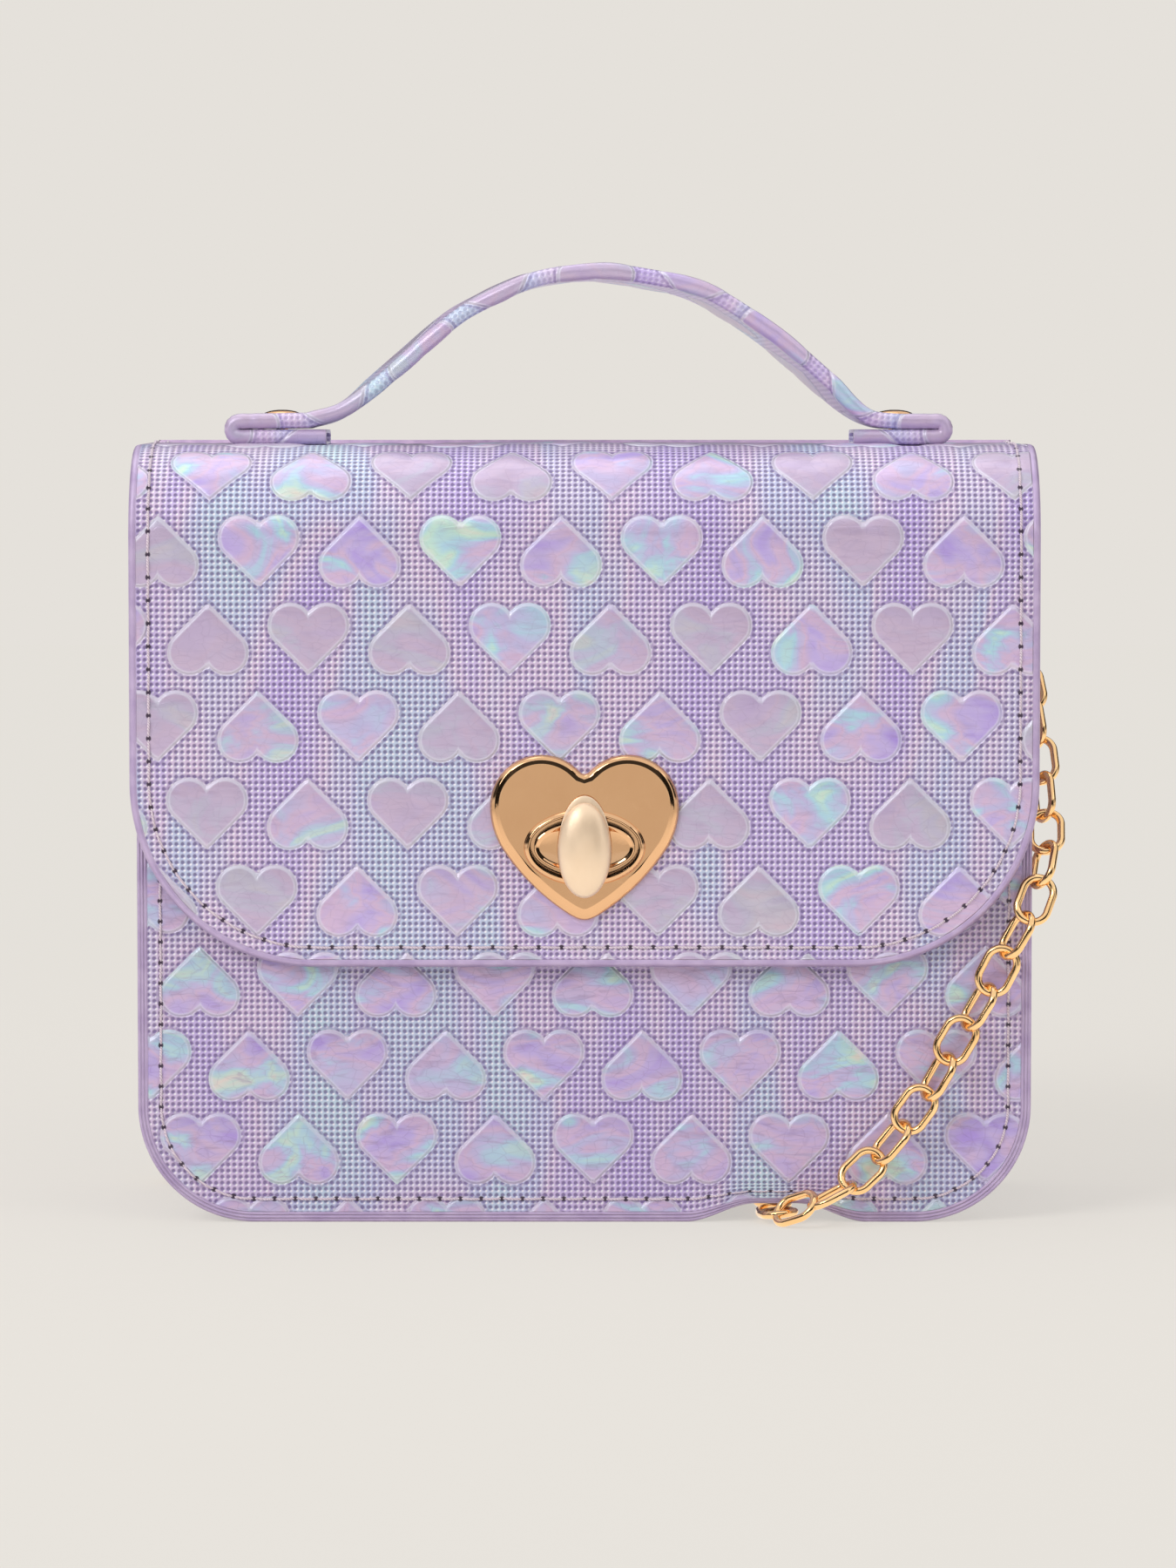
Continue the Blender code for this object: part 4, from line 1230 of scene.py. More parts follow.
@dataclass(frozen=True)
class HeartField:
    """The lattice of embossed hearts on flat leather; upright and upside-down ones take turns."""

    across: float
    along: float
    period: float = 0.0376
    row_pitch: float = 0.01637
    row_shift: float = 0.00925
    width: float = 0.0153
    height: float = 0.0135
    lobe_share: float = 0.274
    lobe_reach_share: float = 0.2235

    def read(self, u: np.ndarray, v: np.ndarray) -> tuple[np.ndarray, np.ndarray]:
        """Return the distance to the nearest heart's outline and that heart's tone.

        Args:
            u: places across the leather, in metres.
            v: places along it, upwards.

        Returns:
            The distance in millimetres, less than zero inside, and a tone from 0 to 1.
        """
        row = np.round((self.along - v) / self.row_pitch)
        steps = (u - self.across - row * self.row_shift) / (self.period / 2)
        column = np.round(steps)
        upright = np.where(np.mod(column, 2) == 0, 1.0, -1.0)
        x = np.abs(steps - column) * self.period / 2
        y = (v - self.along + row * self.row_pitch) * upright
        tone = np.mod(np.sin(row * 12.9898 + column * 78.233) * 43758.5453, 1.0)
        return self._distance(x, y) * 1000, tone

    def _distance(self, x: np.ndarray, y: np.ndarray) -> np.ndarray:
        """Return the signed distance to one heart that is centred on its own box."""
        lobe = self.lobe_share * self.width
        reach = self.lobe_reach_share * self.width
        top = self.height / 2
        lobe_y = top - lobe
        tip = -self.height / 2
        rise = lobe_y - tip
        far = math.hypot(reach, rise)
        slope = math.atan2(rise, reach) - math.asin(lobe / far)
        normal = np.array([math.sin(slope), -math.cos(slope)])
        touch = math.sqrt(far**2 - lobe**2)
        side = x * normal[0] + (y - tip) * normal[1]
        run = x * math.cos(slope) + (y - tip) * math.sin(slope)
        circle = np.hypot(x - reach, y - lobe_y) - lobe
        inner = np.maximum(side, run - touch)
        body = np.maximum(inner, y - lobe_y - np.maximum(0, x) * 0.2)
        return np.minimum(circle, body)


def raised(heart: np.ndarray, fade: float = 1.6) -> np.ndarray:
    """Return how far hearts are puffed up: 0 on their outline and towards 1 inside."""
    return 1 - np.exp(np.minimum(heart, 0) / fade)


@dataclass
class LeatherCut:
    """A flat piece of leather: straight sides and a foot with round corners."""

    half_width: float
    foot: float
    top: float
    corner: float
    step: float = 0.0008
    coarse_from: float = 1.0
    coarse_step: float = 0.0008
    corner_rows: int = 56
    border: tuple[float, ...] = (0.0, 0.00012, 0.0003, 0.0006, 0.0010, 0.0015)

    def grid(self) -> tuple[np.ndarray, np.ndarray]:
        """Return the places across and along of a grid that follows the outline.

        Returns:
            Two arrays with a row for each height, foot first.
        """
        turns = np.linspace(math.pi / 2, 0, self.corner_rows)
        corner = self.foot + self.corner * (1 - np.sin(turns))
        straight = [self.foot + self.corner]
        while straight[-1] < self.top - self.border[-1]:
            fine = straight[-1] < self.coarse_from
            straight.append(straight[-1] + (self.step if fine else self.coarse_step))
        end = [self.top - inset for inset in reversed(self.border)]
        straight = [v for v in straight[1:] if v < end[0] - self.step / 2]
        along = np.concatenate([corner, straight, end])
        half = self.half_at(along)
        count = round((self.half_width - self.border[-1]) * 2 / self.step)
        shares = np.linspace(-1, 1, count + 1)
        inner = (half[:, None] - self.border[-1]) * shares[None, :]
        right = half[:, None] - np.array(self.border[-2::-1])[None, :]
        across = np.concatenate([-right[:, ::-1], inner, right], axis=1)
        return across, np.repeat(along[:, None], across.shape[1], axis=1)

    def half_at(self, v: np.ndarray) -> np.ndarray:
        """Return half the width at given heights."""
        drop = np.clip(self.foot + self.corner - v, 0, self.corner)
        return self.half_width - self.corner + np.sqrt(self.corner**2 - drop**2)

    def edge_distance(self, u: np.ndarray, v: np.ndarray) -> np.ndarray:
        """Return how far places lie inside the outline, in millimetres."""
        x = np.abs(u) - (self.half_width - self.corner)
        y = self.foot + self.corner - v
        rounded = self.corner - np.hypot(np.maximum(x, 0), np.maximum(y, 0))
        near = np.where((x > 0) & (y > 0), rounded, self.corner - np.maximum(x, y))
        near = np.minimum(near, np.where(y > 0, np.inf, self.half_width - np.abs(u)))
        return np.minimum(near, self.top - v) * 1000

    def seam_run(self, u: np.ndarray, v: np.ndarray, inset: float) -> np.ndarray:
        """Return how far along the seam each place lies, from the middle of the foot.

        Args:
            u: places across.
            v: places along.
            inset: the seam's distance from the edge, in metres.

        Returns:
            The run in millimetres, less than zero along the upper edge, which has no seam.
        """
        flat = self.half_width - self.corner
        radius = self.corner - inset
        x = np.abs(u) - flat
        y = self.foot + self.corner - v
        turn = np.arctan2(np.maximum(x, 0), np.maximum(y, 1e-9))
        on_side = flat + radius * math.pi / 2 - y
        run = np.where(x <= 0, np.abs(u), flat + radius * turn)
        side = (y <= 0) & (x > -inset - 0.003)
        unsewn = self.top - v < np.minimum(self.half_width - np.abs(u), 0.012)
        return np.where(unsewn, -0.020, np.where(side, on_side, run)) * 1000

    def seam_line(self, inset: float, top: float) -> np.ndarray:
        """Return the right half of the seam from the middle of the foot up to a height."""
        flat = self.half_width - self.corner
        radius = self.corner - inset
        turns = np.linspace(0, math.pi / 2, 80)[1:-1]
        arc_u = flat + radius * np.sin(turns)
        arc_v = self.foot + self.corner - radius * np.cos(turns)
        u = np.concatenate([[0.0, flat], arc_u, [flat + radius, flat + radius]])
        v = np.concatenate([[self.foot + inset] * 2, arc_v, [self.foot + self.corner, top]])
        return np.stack([u, v, np.zeros_like(u)], axis=1)


Placer = Callable[[np.ndarray, np.ndarray, np.ndarray], np.ndarray]


def store_leather(
    piece: bpy.types.Object,
    flat: tuple[np.ndarray, np.ndarray],
    heart: tuple[np.ndarray, np.ndarray],
    edge: np.ndarray,
    seam: np.ndarray,
) -> None:
    """Store what the leather's finish reads at each point.

    Args:
        piece: the object.
        flat: the places across and along the flat leather, in metres.
        heart: the distance to the nearest heart's outline and its tone.
        edge: the distance to the nearest cut edge, in millimetres.
        seam: the run along the seam, in millimetres.
    """
    names = ("heart_distance", "heart_tone", "edge_distance", "seam_run")
    for name, values in zip(names, (*heart, edge, seam)):
        store(piece, name, values)
    store_flat_map(piece, *flat)


def grid_sheet(name: str, places: np.ndarray, shape: tuple[int, int]) -> bpy.types.Object:
    """Add a grid and bend it to given places.

    Args:
        name: the piece's name.
        places: the grid's points, row by row.
        shape: its rows and columns.

    Returns:
        The sheet, still without thickness.
    """
    rows, columns = shape
    select_none()
    bpy.ops.mesh.primitive_grid_add(x_subdivisions=columns - 1, y_subdivisions=rows - 1, size=1)
    sheet = bpy.context.object
    sheet.name = sheet.data.name = name
    move_vertices(sheet, places)
    return sheet


def thicken(sheet: bpy.types.Object, thickness: float, finishes: Sequence[Finish]) -> None:
    """Give a sheet its thickness inwards and the finishes of its face, back and edge."""
    for finish in finishes:
        sheet.data.materials.append(finish.material())
    offsets = {"material_offset": 1, "material_offset_rim": 2}
    apply_modifier(sheet, "SOLIDIFY", thickness=thickness, offset=-1, **offsets)


@dataclass
class LeatherSheet:
    """One embossed sheet: its cut, its hearts, its thickness and how it is bent into place."""

    name: str
    cut: LeatherCut
    hearts: HeartField
    leather: EmbossedLeather
    place: Placer
    thickness: float = 0.0017
    puff: float = 0.00045
    sway: float = 0.00020
    bead: float = 0.00055
    bead_width: float = 0.9
    plain: bool = False
    slot: tuple[float, float] | None = None

    def relief(self, u: np.ndarray, v: np.ndarray) -> np.ndarray:
        """Return how far the face stands out, in metres, at flat places."""
        heart, _ = self.hearts.read(u, v)
        edge = self.cut.edge_distance(u, v)
        puffed = self.puff * raised(heart) * np.clip(edge / 3, 0, 1)
        sway = np.sin(u * 61 + 1.3) * np.sin(v * 83 + 0.4) + 0.5 * np.sin(u * 140 + v * 90)
        rounded = np.clip(1 - edge / self.bead_width, 0, 1)
        bead = self.bead * (1 - np.sqrt(1 - rounded**2))
        return puffed + self.sway * sway * np.clip(edge / 12, 0, 1) - bead

    def build(self) -> bpy.types.Object:
        """Shape the sheet from a grid and give it its thickness.

        Returns:
            The sheet, with the leather, its backing and its painted edge.
        """
        u, v = self.cut.grid()
        cut_out = np.zeros(u.size, dtype=bool)
        if self.slot:
            u, v, cut_out = self._cut_slot(u, v)
        places = self.place(u.ravel(), v.ravel(), self.relief(u, v).ravel())
        sheet = grid_sheet(self.name, places, u.shape)
        seam = self.cut.seam_run(u, v, self.leather.seam_inset / 1000)
        edge = self.cut.edge_distance(u, v)
        store_leather(sheet, (u, v), self.hearts.read(u, v), edge, seam)
        if self.slot:
            in_edit_mode(sheet)
            select_faces(sheet, lambda face: all(cut_out[corner.index] for corner in face.verts))
            bpy.ops.mesh.delete(type="FACE")
            leave_edit_mode()
        finishes = (LEATHER_BACK,) if self.plain else (self.leather, LEATHER_BACK, EDGE_PAINT)
        thicken(sheet, self.thickness, finishes)
        return sheet

    def _cut_slot(self, u: np.ndarray, v: np.ndarray) -> tuple[np.ndarray, ...]:
        """Fit the grid round the lock's oval slot.

        Args:
            u: the grid's places across.
            v: its places along.

        Returns:
            The places with those nearest the slot moved onto its edge, and which lie in it.
        """
        half_x, half_z = self.slot
        reach = np.hypot(u / half_x, (v - LOCK_HEIGHT) / half_z)
        middle = (reach[:-1, :-1] + reach[1:, :-1] + reach[:-1, 1:] + reach[1:, 1:]) / 4
        gone = np.pad(middle < 1, 1)
        corners = (gone[:-1, :-1], gone[1:, :-1], gone[:-1, 1:], gone[1:, 1:])
        touched = corners[0] | corners[1] | corners[2] | corners[3]
        inside = corners[0] & corners[1] & corners[2] & corners[3]
        edge = touched & ~inside
        scale = np.where(edge, reach, 1.0)
        fitted_u = u / scale
        fitted_v = LOCK_HEIGHT + (v - LOCK_HEIGHT) / scale
        return fitted_u, fitted_v, touched.ravel()


@dataclass
class Seam:
    """A row of sewn stitches, each a short twisted thread that dips into its holes."""

    name: str
    pitch: float
    thread: float = 0.00048
    rise: float = 0.00030
    rings: int = 7
    sides: int = 6

    def build(self, line: np.ndarray, sheet: LeatherSheet) -> bpy.types.Object:
        """Lay a stitch between each pair of needle holes along a flat line.

        Args:
            line: the seam on flat leather, from the foot's middle, right half.
            sheet: the leather that it is sewn on.

        Returns:
            All the stitches as one piece.
        """
        length = travelled(line)[-1]
        joined = np.array(ring_faces(self.rings, self.sides)[:-2])
        ends = np.array(ring_faces(self.rings, self.sides)[-2:])
        places: list[np.ndarray] = []
        faces: list[list[int]] = []
        for index in range(int(length / self.pitch)):
            for side in (-1, 1):
                u, v, out = self._stitch(line, index, side).T
                start = len(places) * self.rings * self.sides
                for group in (joined, ends):
                    faces.extend((group[:, ::-side] + start).tolist())
                places.append(sheet.place(u, v, sheet.relief(u, v) + out))
        return mesh_piece(self.name, np.concatenate(places), faces)

    def _stitch(self, line: np.ndarray, index: int, side: int) -> np.ndarray:
        """Return one stitch's points on flat leather, with their height over it."""
        shares = np.linspace(0.06, 0.94, self.rings)
        middle = along_line(line, (index + shares) * self.pitch)
        ahead = along_line(line, (index + shares + 0.05) * self.pitch)
        run = unit(ahead - middle)
        cross = np.stack([-run[:, 1], run[:, 0]], axis=1)
        arch = np.sin(shares * math.pi)
        height = self.rise * (arch - 0.35) * 1.5
        radius = self.thread / 2 * (0.55 + 0.45 * np.minimum(1, arch * 1.6))
        jog = (0.00012 if index % 2 else -0.00009) * (shares - 0.5)
        turns = np.arange(self.sides) * math.tau / self.sides
        points = []
        for ring in range(self.rings):
            sideways = radius[ring] * np.cos(turns) + jog[ring]
            upwards = radius[ring] * np.sin(turns) * 0.85 + height[ring]
            u = (middle[ring, 0] + cross[ring, 0] * sideways) * side
            v = middle[ring, 1] + cross[ring, 1] * sideways
            points.append(np.stack([u, v, upwards], axis=1))
        return np.concatenate(points)


# Where the chain passes under the panels, how wide and how high the foot rises for it.
PASS_X = 0.0362
PASS_HALF_WIDTH = 0.0170
PASS_SHOULDER = 0.0130
PASS_LIFT = 0.0035


def foot_lift(x: np.ndarray) -> np.ndarray:
    """Return how far the panels' foot stands off the table where the chain runs under it."""
    return PASS_LIFT * smooth_share((PASS_HALF_WIDTH - np.abs(x - PASS_X)) / PASS_SHOULDER)


@dataclass
class BagBody:
    """The body: two rounded panels, the gusset between them and the cloth lining."""

    panel_thickness: float = 0.0016
    corner: float = 0.0220
    front_top: float = 0.1315
    back_top: float = 0.1475
    squeeze: float = 0.0075
    gusset_thickness: float = 0.0012
    gusset_inset: float = 0.0072
    gusset_flange: float = 0.0070
    gusset_bend: float = 0.0018
    gusset_puff: float = 0.0004
    gusset_front_y: float = -0.0218
    gusset_back_y: float = 0.0324
    gusset_front_top: float = 0.1310
    gusset_back_top: float = 0.1425
    front_hearts: HeartField = HeartField(
        -0.0540, 0.0456, period=0.0370, row_pitch=0.01585, row_shift=0.0093
    )
    back_hearts: HeartField = HeartField(-0.0602, 0.1325)
    gusset_hearts: HeartField = HeartField(0.0, 0.020)
    lining_half_width: float = 0.0755
    lining_front_y: float = -0.0196
    lining_bottom: float = 0.0105
    lining_corner: float = 0.0118
    lining_front_top: float = 0.1305
    lining_back_top: float = 0.1420
    lining_thickness: float = 0.0006
    lining_sag: float = 0.00035
    front_seam_top: float = 0.1255
    back_seam_top: float = 0.1400
    boss_hole: float = 0.0043

    def build(self) -> None:
        """Make the panels, the gusset, the lining and the seams."""
        front_cut = LeatherCut(
            PANEL_HALF_WIDTH,
            0.0,
            self.front_top,
            self.corner,
            coarse_from=0.056,
            coarse_step=0.0014,
            corner_rows=44,
        )
        back_cut = LeatherCut(
            PANEL_HALF_WIDTH, 0.0, self.back_top, self.corner, step=0.0010, corner_rows=36
        )
        front = self._panel("front_leather", front_cut, self.front_hearts, self._on_front)
        back = self._panel("back_leather", back_cut, self.back_hearts, self._on_back)
        front.slot = (self.boss_hole, self.boss_hole)
        dress(front.build(), PANEL_LEATHER, "bag", ("front_panel",))
        dress(back.build(), PANEL_LEATHER, "bag", ("back_panel",))
        seams = (("front", front, self.front_seam_top), ("back", back, self.back_seam_top))
        for word, sheet, top in seams:
            seam = Seam(f"{word}_seam", PANEL_LEATHER.seam_pitch / 1000)
            line = sheet.cut.seam_line(PANEL_LEATHER.seam_inset / 1000, top)
            dress(seam.build(line, sheet), THREAD, "bag", smooth_angle=60)
        dress(self._gusset(), GUSSET_LEATHER, "bag", ("gusset",))
        dress(self._lining(), LINING, "bag", ("lining",))

    def _panel(self, name: str, cut: LeatherCut, hearts: HeartField, place: Placer) -> LeatherSheet:
        """Return one panel's sheet."""
        return LeatherSheet(name, cut, hearts, PANEL_LEATHER, place, self.panel_thickness)

    def _foot(self, x: np.ndarray, v: np.ndarray) -> np.ndarray:
        """Return the height of a place on a panel, its foot lifted."""
        return v + foot_lift(x) * np.clip(1 - v / self.squeeze, 0, 1)

    def _on_front(self, u: np.ndarray, v: np.ndarray, out: np.ndarray) -> np.ndarray:
        """Place flat leather on the front panel."""
        return np.stack([u, FRONT_Y - out, self._foot(u, v)], axis=-1)

    def _on_back(self, u: np.ndarray, v: np.ndarray, out: np.ndarray) -> np.ndarray:
        """Place flat leather on the back panel."""
        return np.stack([-u, BACK_Y + out, self._foot(-u, v)], axis=-1)

    def _gusset_section(self) -> np.ndarray:
        """Return the strip's cross-section: depth, stand-out, its normal and its run."""
        front = self.gusset_front_y + self.gusset_thickness
        back = self.gusset_back_y - self.gusset_thickness
        bend = self.gusset_bend
        turns = np.linspace(0, math.pi / 2, 7)
        rise = np.linspace(self.gusset_flange, bend, 8)[:-1]
        flange = [np.full(7, front), rise, np.ones(7), np.zeros(7)]
        cos, sin = np.cos(turns), np.sin(turns)
        curve = [front + bend - bend * cos, bend - bend * sin, cos, sin]
        half = np.concatenate([flange, curve], axis=1).T
        web = np.linspace(front + bend, back - bend, 50)[1:-1]
        level = np.stack([web, 0 * web, 0 * web, 0 * web + 1], axis=1)
        other = half[::-1] * [-1, 1, -1, 1] + [front + back, 0, 0, 0]
        return np.concatenate([half, level, other])

    def _gusset(self) -> bpy.types.Object:
        """Shape the strip round the sides and the base, its edges turned out.

        Returns:
            The gusset with its thickness.
        """
        section = self._gusset_section()
        run = travelled(section[:, :2])
        radius = self.corner - self.gusset_inset
        nx, nz, cx, share = (column[:, None] for column in self._gusset_stations().T)
        depth, stand, ny, no = (section[:, index][None, :] for index in range(4))
        slope = (self.gusset_back_top - self.gusset_front_top) / (
            self.gusset_back_y - self.gusset_front_y
        )
        top = self.gusset_front_top + slope * (depth - self.gusset_front_y)
        cz = self.corner + share * (top - self.corner)
        lifted = foot_lift(cx + nx * radius) * np.clip(-nz, 0, 1)
        reach = radius + stand * (1 - lifted / self.gusset_flange)
        middle = np.stack([(cx + nx * radius)[:, 0], (cz + nz * radius)[:, 0]], axis=1)
        along = travelled(middle)
        v = np.repeat(along[:, None], len(run), axis=1)
        u = np.repeat((run - run[-1] / 2)[None, :], len(along), axis=0)
        heart, tone = self.gusset_hearts.read(u, v)
        edge = np.minimum(run[-1] / 2 - np.abs(u), np.minimum(v, along[-1] - v)) * 1000
        on_web = np.clip((run[-1] / 2 - np.abs(u)) / 0.012 - 0.5, 0, 1)
        puff = self.gusset_puff * raised(heart) * on_web
        y = depth + ny * puff
        reach = reach + no * puff
        places = np.stack([cx + nx * reach, y, cz + nz * reach], axis=-1)
        gusset = grid_sheet("gusset_leather", places, u.shape)
        store_leather(gusset, (u, v), (heart, tone), edge, v * 1000)
        thicken(gusset, self.gusset_thickness, (GUSSET_LEATHER, LEATHER_BACK, EDGE_PAINT))
        return gusset

    def _gusset_stations(self) -> np.ndarray:
        """Return where the strip's cross-section stands, from the left top to the right one.

        Returns:
            Rows of its outward direction, its place across and the share of the side's height.
        """
        flat = PANEL_HALF_WIDTH - self.corner
        side = np.linspace(1, 0, 84)[:-1]
        turns = np.linspace(0, math.pi / 2, 20)[:-1]
        bottom = np.linspace(-flat, flat, 100)[:-1]
        stations = [(-1.0, 0.0, -flat, share) for share in side]
        stations += [(-math.cos(t), -math.sin(t), -flat, 0.0) for t in turns]
        stations += [(0.0, -1.0, x, 0.0) for x in bottom]
        stations += [(math.sin(t), -math.cos(t), flat, 0.0) for t in turns]
        stations += [(1.0, 0.0, flat, share) for share in [*side[::-1], 1.0]]
        return np.array(stations)

    def _lining(self) -> bpy.types.Object:
        """Shape the open cloth box, lower in front, whose walls sag a little.

        Returns:
            The lining with its thickness.
        """
        depth = self.gusset_back_y - self.lining_front_y
        height = self.lining_back_top - self.lining_bottom
        middle = (self.gusset_back_y + self.lining_front_y) / 2
        lining = self._lining_box(middle, depth, height)
        apply_modifier(lining, "SOLIDIFY", thickness=self.lining_thickness, offset=-1)
        in_edit_mode(lining, "VERT")
        bpy.ops.mesh.select_all(action="SELECT")
        bpy.ops.mesh.quads_convert_to_tris()
        bpy.ops.mesh.subdivide(number_cuts=3, smoothness=0)
        leave_edit_mode()
        places = vertex_places(lining)
        share = (places[:, 1] - self.lining_front_y) / depth
        drop = (self.lining_back_top - self.lining_front_top) * (1 - share)
        rise = (places[:, 2] - self.lining_bottom) / height
        places[:, 2] -= drop * rise
        sag = np.sin(places[:, 0] * 95) * np.sin(places[:, 2] * 60 + 1) * self.lining_sag
        inward = np.where(places[:, 1] < middle, 1.0, -1.0) * np.clip(rise * 4, 0, 1)
        inward *= np.clip((self.lining_half_width - np.abs(places[:, 0])) / 0.02, 0, 1)
        places[:, 1] += np.abs(sag) * inward * 1.5
        move_vertices(lining, places)
        return lining

    def _lining_box(self, middle: float, depth: float, height: float) -> bpy.types.Object:
        """Shape an open box from a block: its lid goes, its foot is rounded.

        Args:
            middle: where its middle lies between front and back.
            depth: its size from front to back.
            height: its height.

        Returns:
            The box, still without thickness.
        """
        select_none()
        bpy.ops.mesh.primitive_cube_add(
            size=1,
            location=(0, middle, self.lining_bottom + height / 2),
            scale=(2 * self.lining_half_width, depth, height),
        )
        lining = bpy.context.object
        lining.name = lining.data.name = "cloth_lining"
        settle(lining)
        top = self.lining_back_top - 0.0001
        in_edit_mode(lining, "EDGE")
        foot = self.lining_bottom + 0.0001
        select_edges(
            lining,
            lambda edge: all(vertex.co.z < foot for vertex in edge.verts)
            and abs(edge.verts[0].co.y - edge.verts[1].co.y) > depth / 2,
        )
        bpy.ops.mesh.bevel(offset=self.lining_corner, segments=10, affect="EDGES")
        bpy.ops.mesh.select_mode(type="FACE")
        select_faces(lining, lambda face: face.calc_center_median().z > top)
        bpy.ops.mesh.delete(type="FACE")
        leave_edit_mode()
        turn_outward(lining)
        return lining


@dataclass
class Flap:
    """The one leather sheet over the top and down the front, with its backing."""

    foot: float = 0.0487
    corner: float = 0.0345
    thickness: float = 0.0017
    backing_thickness: float = 0.0006
    backing_margin: float = 0.0030
    gap: float = 0.0003
    roof_depth: float = ROOF_BACK_Y - BEND_CENTRE_Y
    slot: tuple[float, float] = (0.0107, 0.00645)
    backing_slot: tuple[float, float] = (0.0153, 0.0113)
    hearts: HeartField = HeartField(-0.0608, 0.1266)

    def build(self) -> None:
        """Make the leather, its backing and its seam, and put their places into their meshes."""
        cut = self._cut(0.0, 0.0008)
        leather = LeatherSheet(
            "flap_leather",
            cut,
            self.hearts,
            FLAP_LEATHER,
            self._over_top(0.0),
            self.thickness,
            slot=self.slot,
        )
        outer = dress(leather.build(), FLAP_LEATHER, None, ("flap_roof", "flap_front"))
        inner_cut = self._cut(self.backing_margin, 0.0018)
        backing = LeatherSheet(
            "flap_backing",
            inner_cut,
            HeartField(0.0, 0.0, width=1e-6, height=1e-6),
            FLAP_LEATHER,
            self._over_top(self.thickness + self.gap),
            self.backing_thickness,
            puff=0.0,
            sway=0.0,
            plain=True,
            slot=self.backing_slot,
        )
        nodes = ("flap_roof_lining", "flap_front_lining")
        inner = dress(backing.build(), LEATHER_BACK, None, nodes)
        seam = Seam("flap_seam", FLAP_LEATHER.seam_pitch / 1000)
        line = cut.seam_line(FLAP_LEATHER.seam_inset / 1000, cut.top - 0.006)
        threads = dress(seam.build(line, leather), THREAD, None, smooth_angle=60)
        for piece in (outer, inner, threads):
            self._bend_at_front(piece)

    def _cut(self, margin: float, step: float) -> LeatherCut:
        """Return the flap's outline, moved in by a margin."""
        length = BEND_RADIUS * math.pi / 2 + self.roof_depth
        return LeatherCut(
            FLAP_HALF_WIDTH - margin,
            self.foot + margin,
            BEND_CENTRE_Z + length,
            self.corner - margin,
            step=step,
            coarse_from=0.160,
            coarse_step=max(step, 0.0010),
        )

    def _over_top(self, inset: float) -> Placer:
        """Return how flat leather lies down the front, round the bend and over the top."""

        def place(u: np.ndarray, v: np.ndarray, out: np.ndarray) -> np.ndarray:
            """Place flat leather on the flap."""
            turn = np.clip((v - BEND_CENTRE_Z) / BEND_RADIUS, 0, math.pi / 2)
            radius = BEND_RADIUS - inset + out
            past = np.maximum(0, v - BEND_CENTRE_Z - BEND_RADIUS * math.pi / 2)
            below = np.minimum(0, v - BEND_CENTRE_Z)
            y = BEND_CENTRE_Y - radius * np.cos(turn) + past
            z = BEND_CENTRE_Z + radius * np.sin(turn) + below
            return np.stack([u, y, z], axis=-1)

        return place

    def _bend_at_front(self, piece: bpy.types.Object) -> None:
        """Put a sheet's place into its mesh."""
        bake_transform(piece)


def loft(name: str, rings: Sequence[np.ndarray], closed: bool) -> bpy.types.Object:
    """Join rings of equally many points, each to the next.

    Args:
        name: the piece's name.
        rings: the rings, in order.
        closed: whether the last ring joins the first; otherwise the ends are capped.

    Returns:
        The closed piece, its faces outward.
    """
    made = mesh_piece(name, np.concatenate(rings), ring_faces(len(rings), len(rings[0]), closed))
    turn_outward(made, 0.0000005)
    return made


def swept(name: str, path: np.ndarray, radius: float, sides: int) -> bpy.types.Object:
    """Sweep a round wire along a closed path.

    Args:
        name: the piece's name.
        path: the wire's centre line, its first point not repeated.
        radius: the wire's radius.
        sides: the faces round it.

    Returns:
        The closed ring.
    """
    ahead = unit(np.roll(path, -1, axis=0) - np.roll(path, 1, axis=0))
    flat = unit(np.cross(ahead[0], path[0] - path.mean(axis=0)))
    outward = unit(np.cross(ahead, flat))
    turns = np.arange(sides) * math.tau / sides
    rings = [
        place + radius * (np.cos(turns)[:, None] * out + np.sin(turns)[:, None] * flat)
        for place, out in zip(path, outward)
    ]
    return loft(name, rings, closed=True)


def oval(half_width: float, half_height: float, y: float, lift: float = 0.0) -> np.ndarray:
    """Return an upright oval ring round the lock's middle, or lifted from it."""
    turns = np.arange(144) * math.tau / 144
    x = half_width * np.cos(turns)
    z = LOCK_HEIGHT + lift + half_height * np.sin(turns)
    return np.stack([x, np.full(144, y), z], axis=1)


def second_finish(
    piece: bpy.types.Object, finish: Finish, chosen: Callable[[Vector], bool]
) -> None:
    """Give a piece's faces whose middle is chosen another finish."""
    piece.data.materials.append(finish.material())
    for face in piece.data.polygons:
        if chosen(face.center):
            face.material_index = len(piece.data.materials) - 1


